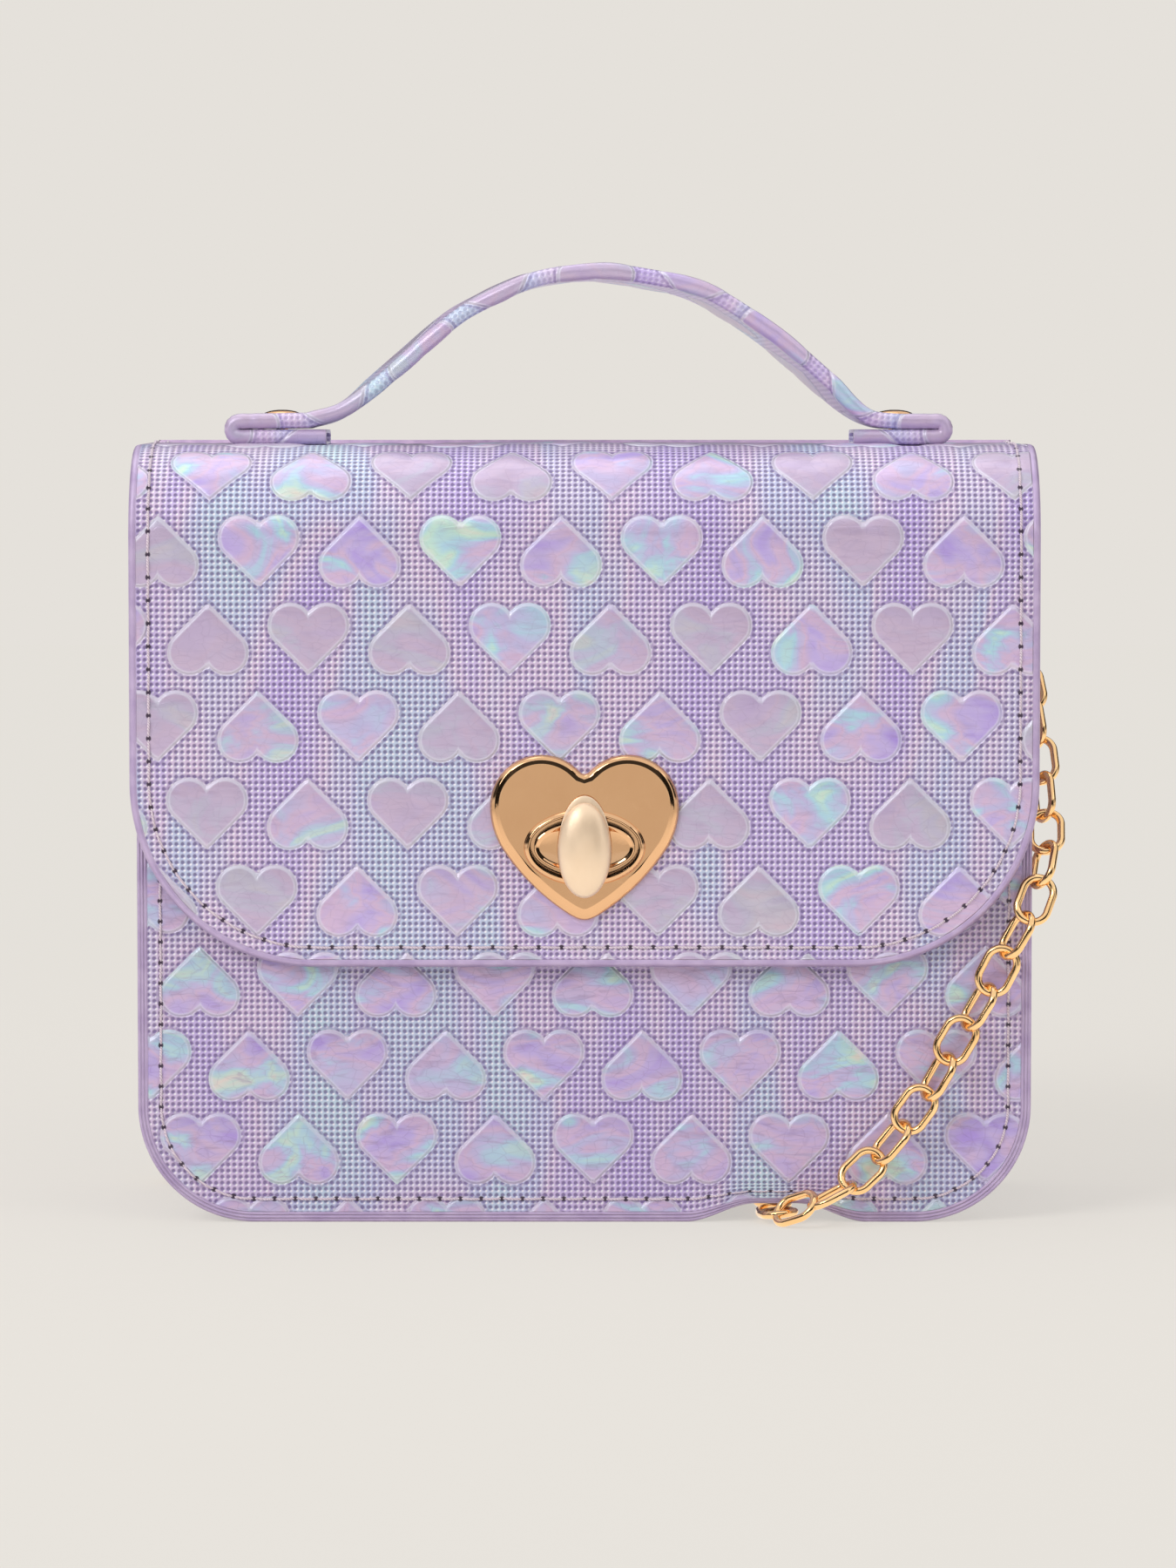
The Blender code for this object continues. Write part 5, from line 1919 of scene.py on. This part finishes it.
@dataclass
class TurnLock:
    """The heart plate with its oval ring, the barrel that comes through and the knob."""

    plate_in: float = 0.0042
    plate_thickness: float = 0.0016
    plate_half_width: float = 0.01765
    plate_shares: tuple[tuple[float, float], ...] = (
        (0.000, 0.734), (0.031, 0.745), (0.057, 0.767), (0.136, 0.836), (0.234, 0.893),
        (0.343, 0.929), (0.456, 0.941), (0.569, 0.929), (0.678, 0.893), (0.776, 0.836),
        (0.861, 0.760), (0.928, 0.667), (0.974, 0.563), (0.998, 0.451), (0.996, 0.305),
        (0.968, 0.160), (0.915, 0.021), (0.856, -0.081), (0.706, -0.280), (0.536, -0.463),
        (0.348, -0.626), (0.162, -0.758), (0.108, -0.785), (0.057, -0.808), (0.000, -0.816),
    )
    plate_points: int = 144
    plate_lift: float = 0.0007
    rim_top: float = 0.0016
    rim_foot: float = 0.0021
    rim_profile: tuple[tuple[float, float], ...] = (
        (0.00, 0.30), (0.05, 0.42), (0.14, 0.55), (0.26, 0.68), (0.38, 0.79), (0.50, 0.88),
        (0.62, 0.91), (0.76, 0.945), (0.90, 0.98), (1.00, 1.00), (1.06, 1.00),
    )
    ring_profile: tuple[tuple[float, float], ...] = (
        (0.00, 0.00), (0.10, 0.22), (0.25, 0.48), (0.40, 0.70), (0.55, 0.87), (0.68, 0.97),
        (0.78, 1.00), (0.88, 0.93), (0.96, 0.70), (1.00, 0.30),
    )
    slot: tuple[float, float] = (0.0102, 0.00595)
    slot_wall_reach: float = 1.03
    groove_reach: float = 1.06
    groove_depth: float = 0.0005
    ring: tuple[float, float] = (0.01135, 0.00715)
    ring_rise: float = 0.0007
    barrel: tuple[float, float] = (0.00945, 0.0048)
    barrel_out: float = 0.0062
    flange: tuple[float, float] = (0.0130, 0.0085)
    flange_thickness: float = 0.0007
    boss_radius: float = 0.0040
    boss_length: float = 0.0025
    post_radius: float = 0.0019
    knob: tuple[float, float] = (0.0051, 0.0094)
    knob_in: float = 0.0068
    knob_side: float = 0.0019
    knob_dome: float = 0.0019
    knob_drop: float = 0.0004

    def build(self) -> None:
        """Make the plate, the base and the knob, and give the slot's wall and the groove behind
        them a painted-shade gold.
        """
        plate = self._plate()
        dress(plate, MIRROR_GOLD, "front", ("heart_plate",))
        # The slot's wall and the groove behind the plate get painted shade.
        second_finish(plate, GROOVE_PAINTED_SHADE_GOLD, self._in_slot)
        base = self._base()
        dress(base, MIRROR_GOLD, "bag", ("lock_base",))
        second_finish(base, GROOVE_PAINTED_SHADE_GOLD, self._under_slot)
        dress(self._knob(), KNOB_GOLD, "knob", ("turn_knob",), smooth_angle=50)

    def _slot_reach(self, middle: Vector) -> float:
        """Return how far a place lies from the lock's middle, 1 on the slot's edge."""
        slot_x, slot_z = self.slot
        return math.hypot(middle.x / slot_x, (middle.z - LOCK_HEIGHT) / slot_z)

    def _under_slot(self, middle: Vector) -> bool:
        """Return whether a face of the base lies in the groove round the barrel's end."""
        low = middle.y > FRONT_Y - self.barrel_out + self.groove_depth
        return low and self._slot_reach(middle) < self.groove_reach

    def _in_slot(self, middle: Vector) -> bool:
        """Return whether a face of the plate belongs to the slot's inner wall."""
        low = middle.y > FRONT_Y - self.plate_in - self.plate_thickness
        return low and self._slot_reach(middle) < self.slot_wall_reach

    def _heart(self, share: float, out: float) -> np.ndarray:
        """Return the heart's outline, moved in by a share of the rim's width.

        Args:
            share: 0 on the outer edge, 1 where the flat face starts.
            out: the stand-out from the front panel.

        Returns:
            The ring, clockwise from the notch.
        """
        half = np.array(self.plate_shares) * self.plate_half_width
        left = half[-2:0:-1] * np.array([-1.0, 1.0])
        whole = np.concatenate([half, left])
        lead = np.concatenate([whole[-4:], whole, whole[:5]])
        flat = smooth_line([(x, z, 0.0) for x, z in lead], 0.0001)
        run = travelled(flat)
        away = np.hypot(*(flat[:, :2] - whole[0]).T)
        halfway = len(flat) // 2
        first = int(np.argmin(away[:halfway]))
        last = halfway + int(np.argmin(away[halfway:]))
        ring = along_line(flat, np.linspace(run[first], run[last], self.plate_points + 1))[:-1]
        ahead = np.roll(ring, -1, axis=0) - np.roll(ring, 1, axis=0)
        inward = unit(np.stack([ahead[:, 1], -ahead[:, 0]], axis=1))
        height = np.clip((ring[:, 1] + 0.0144) / 0.031, 0, 1)
        width = self.rim_foot + (self.rim_top - self.rim_foot) * height
        moved = ring[:, :2] + inward * (width * share)[:, None]
        y = np.full(len(moved), FRONT_Y - out)
        return np.stack([moved[:, 0], y, LOCK_HEIGHT + self.plate_lift + moved[:, 1]], axis=1)

    def _plate(self) -> bpy.types.Object:
        """Loft the plate: its side, the rounded rim, the flat face, the ring and the slot.

        Returns:
            The closed plate.
        """
        low = self.plate_in
        face = low + self.plate_thickness
        rings = [self._heart(0.06, low), self._heart(0.0, low + 0.0002)]
        for share, rise in self.rim_profile:
            rings.append(self._heart(share, low + self.plate_thickness * rise))
        ring_x, ring_z = self.ring
        slot_x, slot_z = self.slot
        for grow in (0.0006, 0.0001):
            rings.append(self._turned(oval(ring_x + grow, ring_z + grow, FRONT_Y - face)))
        width = ring_x - slot_x
        for share, rise in self.ring_profile:
            inset = width * share
            out = face + self.ring_rise * rise
            rings.append(self._turned(oval(ring_x - inset, ring_z - inset, FRONT_Y - out)))
        rings.append(self._turned(oval(slot_x, slot_z, FRONT_Y - low - 0.0002)))
        rings.append(self._turned(oval(slot_x + 0.0002, slot_z + 0.0002, FRONT_Y - low)))
        return loft("heart_lock_plate", rings, closed=True)

    @staticmethod
    def _turned(ring: np.ndarray) -> np.ndarray:
        """Reorder an oval's points so that they start at the top and run like the heart's."""
        count = len(ring)
        order = (count // 4 - np.arange(count)) % count
        return ring[order]

    def _base(self) -> bpy.types.Object:
        """Loft the base: boss behind the panel, flange on it, barrel with a rolled edge."""
        barrel_x, barrel_z = self.barrel
        flange_x, flange_z = self.flange
        top = self.barrel_out
        bottom = 0.0003
        hole = self.post_radius + 0.0003
        profile = [
            (hole, hole, -self.boss_length),
            (self.boss_radius, self.boss_radius, -self.boss_length),
            (self.boss_radius, self.boss_radius, bottom),
            (flange_x, flange_z, bottom),
            (flange_x, flange_z, bottom + self.flange_thickness * 0.6),
            (flange_x - 0.0003, flange_z - 0.0003, bottom + self.flange_thickness),
            (barrel_x, barrel_z, bottom + self.flange_thickness),
            (barrel_x, barrel_z, top - 0.0004),
            (barrel_x - 0.0001, barrel_z - 0.0001, top - 0.00012),
            (barrel_x - 0.0003, barrel_z - 0.0003, top),
            (barrel_x - 0.0006, barrel_z - 0.0006, top - 0.00005),
            (barrel_x - 0.0008, barrel_z - 0.0008, top - 0.00022),
            (barrel_x - 0.0011, barrel_z - 0.0011, top - 0.00026),
            (hole + 0.0010, hole + 0.0008, top - 0.00026),
            (hole, hole, top - 0.00026),
        ]
        rings = [oval(x, z, FRONT_Y - out) for x, z, out in profile]
        return loft("turn_lock_base", rings, closed=True)

    def _knob(self) -> bpy.types.Object:
        """Loft the knob: its post, its collar, its side and its dome."""
        half_x, half_z = self.knob
        back = self.knob_in
        side = back + self.knob_side
        post = self.post_radius
        profile = [(post * 0.6, post * 0.6, -0.0048), (post, post, -0.0046), (post, post, back)]
        collar = [(0.0003, 0.0), (0.0, 0.0002), (0.0, 0.0007), (0.00015, 0.0008)]
        rings = [oval(x, z, FRONT_Y - out) for x, z, out in profile]
        for inset, out in collar:
            size = (half_x - 0.0003 - inset, half_z - inset)
            rings.append(oval(*size, FRONT_Y - back - out, self.knob_drop))
        half_z -= self.knob_drop
        profile = [
            (half_x - 0.0004, half_z - 0.0004, back + 0.0009),
            (half_x - 0.0001, half_z - 0.0001, back + 0.0011),
            (half_x - 0.00018, half_z - 0.00020, side - 0.0003),
        ]
        rise = self.knob_dome + 0.0002
        for turn in np.linspace(0, math.pi / 2, 20)[:-1]:
            share = math.cos(turn)
            height = (1 - share**2.4) ** 0.75 * rise
            x, z = (half_x - 0.00025) * share, (half_z - 0.00035) * share
            profile.append((x, z, side - 0.0002 + height))
        profile.append((half_x * 0.02, half_z * 0.02, side + self.knob_dome))
        rings += [oval(x, z, FRONT_Y - out, -self.knob_drop) for x, z, out in profile]
        return loft("turn_lock_knob", rings, closed=False)


@dataclass(frozen=True)
class Rivet:
    """A rivet: a disc with a rounded cap on it and a post under it."""

    radius: float
    rise: float
    disc: float
    sides: int
    steps: tuple[tuple[float, float], ...]
    post_radius: float = 0.0012

    def build(
        self, name: str, base: tuple[float, float, float], turn: float, post: float
    ) -> bpy.types.Object:
        """Model the rivet.

        Args:
            name: the piece's name.
            base: the middle of the disc's underside.
            turn: how far its axis is turned from upright to the right, in radians.
            post: how long the post is.

        Returns:
            The rivet.
        """
        out = Vector((math.sin(turn), 0, math.cos(turn)))
        select_none()
        bpy.ops.mesh.primitive_cylinder_add(
            vertices=self.sides,
            radius=self.radius,
            depth=self.disc,
            location=Vector(base) + out * (self.disc / 2),
            rotation=(0, turn, 0),
        )
        rivet = bpy.context.object
        rivet.name = rivet.data.name = name
        settle(rivet)
        in_edit_mode(rivet)
        select_faces(rivet, lambda face: face.normal.dot(out) > 0.9)
        for inset, share in self.steps:
            bpy.ops.mesh.inset(thickness=inset)
            bpy.ops.transform.translate(value=out * ((self.rise - self.disc) * share))
        bpy.ops.mesh.select_all(action="DESELECT")
        select_faces(rivet, lambda face: face.normal.dot(out) < -0.9)
        bpy.ops.mesh.inset(thickness=self.radius - self.post_radius)
        bpy.ops.mesh.extrude_region_move(TRANSFORM_OT_translate={"value": tuple(out * -post)})
        leave_edit_mode()
        return rivet


# How far from a cut edge, in millimetres, leather counts that has none.
NO_EDGE = 50.0


@dataclass
class StrapHandle:
    """The arched strap of wrapped leather, folded under itself and riveted at each end."""

    y: float = 0.0070
    width: float = 0.0190
    thickness: float = 0.00296
    under_z: float = 0.14795
    upper_z: float = 0.15095
    cut_left_x: float = -0.0495
    cut_right_x: float = 0.0515
    fold_left_x: float = -0.0660
    fold_right_x: float = 0.0675
    rivets: tuple[float, float] = (-0.0583, 0.0597)
    rivet: Rivet = Rivet(
        0.0038, 0.0013, 0.0003, 40, ((0.0005, 0.45), (0.0007, 0.27), (0.0008, 0.17), (0.0009, 0.11))
    )
    rivet_sink: float = 0.0005
    post_end: float = 0.1428
    skew: float = 0.0026
    puff: float = 0.00024
    puff_fade: float = 1.4
    unevenness: float = 0.00022
    wrinkle: float = 0.00010
    wrinkle_reach: float = 0.006
    hearts: HeartField = HeartField(0.0, 0.0)
    arch: tuple[tuple[float, float], ...] = (
        (-0.0530, 0.0002), (-0.0460, 0.0026), (-0.0366, 0.0104), (-0.0268, 0.0188),
        (-0.0207, 0.0226), (-0.0104, 0.0271), (0.0007, 0.0286), (0.0092, 0.0279),
        (0.0221, 0.0248), (0.0350, 0.0168), (0.0446, 0.0088), (0.0506, 0.0032),
        (0.0550, 0.0006), (0.0600, 0.0000),
    )

    def build(self) -> None:
        """Make the strap and its two rivets."""
        dress(self._strap(), STRAP_LEATHER, "roof", ("handle_strap",), smooth_angle=60)
        base = self.upper_z + self.thickness / 2 - self.rivet_sink
        for word, x in zip(("left", "right"), self.rivets):
            place = (x, self.y, base)
            rivet = self.rivet.build(f"handle_rivet_{word}", place, 0.0, base - self.post_end)
            dress(rivet, GOLD, "roof", (f"rivet_cap_{word}",), smooth_angle=50)

    def _middle(self) -> np.ndarray:
        """Return the strap's centre line in x and z, evenly spaced, cut end to cut end."""
        radius = (self.upper_z - self.under_z) / 2
        centre_z = (self.upper_z + self.under_z) / 2
        turns = np.linspace(-math.pi / 2, math.pi / 2, 13)
        across, up = radius * np.cos(turns), centre_z + radius * np.sin(turns)
        arch = smooth_line([(x, 0.0, self.upper_z + rise) for x, rise in self.arch], 0.001)
        line = [
            (self.cut_left_x, self.under_z),
            *zip(self.fold_left_x - across, up),
            *arch[:, [0, 2]],
            *zip((self.fold_right_x + across)[::-1], up[::-1]),
            (self.cut_right_x, self.under_z),
        ]
        flat = np.array([(x, 0.0, z) for x, z in line])
        return respaced(flat, 0.0006)

    def _section(self) -> tuple[np.ndarray, np.ndarray]:
        """Return the strap's cross-section and the run round it.

        Returns:
            Rows of sideways place, upward place and their normal, and the run in metres.
        """
        radius = self.thickness / 2 * 0.96
        flat = np.linspace(-1, 1, 26) * (self.width / 2 - radius)
        turns = np.linspace(0, math.pi, 11)[1:-1]
        half = self.thickness / 2
        top = [(s, half, 0.0, 1.0) for s in flat]
        far = [
            (flat[-1] + radius * math.sin(t), half * math.cos(t), math.sin(t), math.cos(t))
            for t in turns
        ]
        bottom = [(s, -half, 0.0, -1.0) for s in flat[::-1]]
        near = [(-a, -b, -c, -d) for a, b, c, d in far]
        rows = np.array([*top, *far, *bottom, *near])
        steps = np.linalg.norm(np.diff(rows[:, :2], axis=0), axis=1)
        run = np.concatenate([[0.0], np.cumsum(steps)])
        return rows, run - run[25] / 2

    def _strap(self) -> bpy.types.Object:
        """Sweep the section along the centre line, with the leather's relief on it.

        Returns:
            The closed strap.
        """
        line = self._middle()
        run = travelled(line)
        ahead = unit(np.gradient(line, axis=0))
        up = np.stack([-ahead[:, 2], np.zeros(len(line)), ahead[:, 0]], axis=1)
        rows, around = self._section()
        u = np.repeat((run - run[-1] / 2)[:, None], len(rows), axis=1)
        v = np.repeat(around[None, :], len(line), axis=0)
        heart, tone = self.hearts.read(u, v)
        puff = self.puff * raised(heart, self.puff_fade)
        height = line[:, 2] - self.upper_z
        free = np.clip((height - 0.0008) / 0.006, 0, 1)
        uneven = self.unevenness * np.sin(u * 260 + 2 * np.sin(u * 90)) * free[:, None]
        pucker = self._puckers(line, u, rows)
        out = puff * free[:, None] + uneven * np.abs(rows[None, :, 2]) + pucker
        side = rows[None, :, 0] + rows[None, :, 2] * out
        lift = rows[None, :, 1] + rows[None, :, 3] * out
        lean = self.skew * free**0.7
        places = np.empty((len(line), len(rows), 3))
        places[:, :, 0] = line[:, 0][:, None] + up[:, 0][:, None] * lift
        places[:, :, 0] -= lean[:, None] * side / self.width
        places[:, :, 1] = self.y + side
        places[:, :, 2] = line[:, 2][:, None] + up[:, 2][:, None] * lift
        cap_in = self._closed_end(places[0], line[0], ahead[0])
        cap_out = self._closed_end(places[-1], line[-1], -ahead[-1])
        rings = [*cap_in[::-1], *places, *cap_out]
        faces = ring_faces(len(rings), len(rows))
        strap = mesh_piece("strap_handle", np.concatenate(rings), faces)
        pad = len(cap_in)
        heart, tone, u, v = (self._padded(values, pad) for values in (heart, tone, u, v))
        store_leather(strap, (u, v), (heart, tone), np.full(len(u), NO_EDGE), u * 0)
        turn_outward(strap)
        return strap

    def _puckers(self, line: np.ndarray, u: np.ndarray, rows: np.ndarray) -> np.ndarray:
        """Return the small wrinkles where the strap is folded back on itself."""
        left = np.abs(line[:, 0] - self.fold_left_x) < self.wrinkle_reach
        right = np.abs(line[:, 0] - self.fold_right_x) < self.wrinkle_reach
        near = np.where(left | right, 1.0, 0.0)
        near = np.convolve(near, np.ones(9) / 9, mode="same")
        waves = np.sin(u * 2600) * 0.6 + np.sin(u * 1500 + 1) * 0.4
        return self.wrinkle * waves * near[:, None] * (0.4 + 0.6 * np.abs(rows[None, :, 2]))

    @staticmethod
    def _closed_end(ring: np.ndarray, centre: np.ndarray, inward: np.ndarray) -> list[np.ndarray]:
        """Return the rings of a cut end: its rolled lip and the hollow inside it."""
        middle = ring.mean(axis=0)
        lip = middle + (ring - middle) * 0.93 - inward * 0.00015
        inner = middle + (ring - middle) * np.array([0.55, 0.90, 0.55]) - inward * 0.00003
        deep = middle + (ring - middle) * np.array([0.50, 0.88, 0.50]) + inward * 0.0012
        return [lip, inner, deep]

    @staticmethod
    def _padded(values: np.ndarray, count: int) -> np.ndarray:
        """Repeat the first and last rows of values for the rings that close the ends."""
        first = np.repeat(values[:1], count, axis=0)
        last = np.repeat(values[-1:], count, axis=0)
        return np.concatenate([first, values, last]).ravel()


@dataclass
class SideRings:
    """On each side a riveted leather tab that holds a D-ring for the chain."""

    ring_x: float = 0.0797
    bar_z: float = 0.1240
    half_length: float = 0.0072
    drop: float = 0.0095
    corner: float = 0.0016
    lean: float = math.radians(9)
    wire: float = 0.0010
    tab_width: float = 0.0120
    tab_layer: float = 0.0011
    tab_inner_x: float = 0.0773
    tab_top: float = 0.1365
    tab_fold: float = 0.0055
    tab_gap: float = 0.0003
    tab_turn: tuple[float, float] = (60.0, -240.0)
    tab_trim: float = 0.0002
    tab_border: tuple[float, ...] = (0.0, 0.0002, 0.0005)
    tab_bead: float = 0.00025
    tab_bead_width: float = 0.0006
    rivet: Rivet = Rivet(
        0.0028, 0.0011, 0.0002, 32, ((0.0004, 0.50), (0.0006, 0.28), (0.0007, 0.15), (0.0006, 0.07))
    )
    rivet_z: float = 0.1315
    rivet_gap: float = 0.0003
    post_end_x: float = 0.0761

    def build(self) -> None:
        """Make both sides."""
        base = self.tab_inner_x + 2 * self.tab_layer + self.rivet_gap
        post = base - self.post_end_x
        for side, word in ((-1, "left"), (1, "right")):
            ring = swept(f"side_ring_{word}", self._loop(side), self.wire, 12)
            dress(ring, GOLD, f"ring_{word}", (f"d_ring_{word}",), smooth_angle=60)
            tab = self._tab(side, f"side_tab_{word}")
            dress(tab, GUSSET_LEATHER, "bag", (f"d_tab_{word}",))
            place = (side * base, MIDDLE_Y, self.rivet_z)
            rivet = self.rivet.build(f"side_rivet_{word}", place, side * math.pi / 2, post)
            dress(rivet, GOLD, "bag", (f"tab_rivet_{word}",), smooth_angle=50)

    def _loop(self, side: int) -> np.ndarray:
        """Return the D's centre line: the bar, two tight corners and the bowl."""
        flat = self.half_length - self.corner
        turns = np.linspace(math.pi / 2, 0, 5)
        across = flat + self.corner * np.cos(turns)
        down = self.corner * np.sin(turns) - self.corner
        bowl = np.linspace(0, math.pi, 26)[1:-1]
        sunk = -self.corner - (self.drop - self.corner) * np.sin(bowl)
        bar = np.linspace(-1, 1, 8)[1:-1] * flat
        across = np.concatenate([across, self.half_length * np.cos(bowl), -across[::-1], bar])
        down = np.concatenate([down, sunk, down[::-1], 0 * bar])
        x = side * (self.ring_x - down * math.sin(self.lean))
        z = self.bar_z + down * math.cos(self.lean)
        return np.stack([x, MIDDLE_Y + across, z], axis=1)

    def _tab(self, side: int, name: str) -> bpy.types.Object:
        """Model the tab: a folded strip that loops round the ring's bar.

        Args:
            side: -1 for the left, 1 for the right.
            name: the piece's name.

        Returns:
            The tab, its edges painted.
        """
        flat = self._tab_line()
        run = travelled(flat)
        ahead = unit(np.gradient(flat, axis=0))
        out = np.stack([-ahead[:, 2], np.zeros(len(flat)), ahead[:, 0]], axis=1)
        half = self.tab_width / 2
        border = np.array(self.tab_border) - half
        inner = np.linspace(-half + 0.001, half - 0.001, 14)
        across = np.concatenate([border, inner, -border[::-1]])
        edge = half - np.abs(across)
        bead = self.tab_bead * np.clip(1 - edge / self.tab_bead_width, 0, 1) ** 2
        u = np.repeat(across[None, :], len(flat), axis=0)
        v = np.repeat(run[:, None], len(across), axis=1)
        level = self.tab_layer / 2 - self.tab_trim - bead
        places = flat[:, None, :] + out[:, None, :] * level[None, :, None]
        places[:, :, 0] *= side
        places[:, :, 1] = MIDDLE_Y + across[None, :]
        tab = grid_sheet(name, places, u.shape)
        ends = np.minimum(v, run[-1] - v)
        edge = np.minimum(half - np.abs(u), ends) * 1000
        store_leather(tab, (u, v), HeartField(0.004, 0.002).read(u, v), edge, v * 0)
        if tab.data.polygons[0].normal.x * side < 0:
            in_edit_mode(tab)
            bpy.ops.mesh.select_all(action="SELECT")
            bpy.ops.mesh.flip_normals()
            leave_edit_mode()
        thickness = self.tab_layer - 2 * self.tab_trim
        thicken(tab, thickness, (GUSSET_LEATHER, LEATHER_BACK, EDGE_PAINT))
        return tab

    def _tab_line(self) -> np.ndarray:
        """Return the right tab's centre line: down outside, round the ring's bar, up inside."""
        radius = self.wire + self.tab_gap + self.tab_layer / 2
        outer_x = self.tab_inner_x + 1.5 * self.tab_layer
        inner_x = self.tab_inner_x + 0.5 * self.tab_layer
        fold_z = self.bar_z + self.tab_fold
        turns = np.radians(np.linspace(*self.tab_turn, 16))
        line = [
            (outer_x, self.tab_top),
            (outer_x, fold_z),
            *zip(self.ring_x + radius * np.cos(turns), self.bar_z + radius * np.sin(turns)),
            (inner_x, fold_z),
            (inner_x, self.tab_top),
        ]
        return smooth_line([(x, 0.0, z) for x, z in line], 0.0004)


def finish_carried_nodes() -> None:
    """Give the small hidden fittings and the board, whose shapes stay, their finishes."""
    carried = {
        "base_board": BOARD,
        "lock_washer": GOLD,
        "heart_backing": GOLD,
        "knob_clip": GOLD,
        "rivet_back_left": GOLD,
        "rivet_back_right": GOLD,
    }
    for name, finish in carried.items():
        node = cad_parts[name]
        for slot in node.material_slots:
            slot.material = finish.material()
        log.info("%s: carried over in %s", name, finish.name)


def main() -> None:
    """Build the scene: the camera and the chain first, then the bag from the inside out."""
    logging.basicConfig(level=logging.INFO, format="%(name)s: %(message)s")
    bpy.context.scene.view_settings.view_transform = "Standard"
    PhotoCamera().place()
    Studio().build()
    ShoulderChain().build()
    BagBody().build()
    Flap().build()
    TurnLock().build()
    StrapHandle().build()
    SideRings().build()
    finish_carried_nodes()


if __name__ == "__main__":
    main()
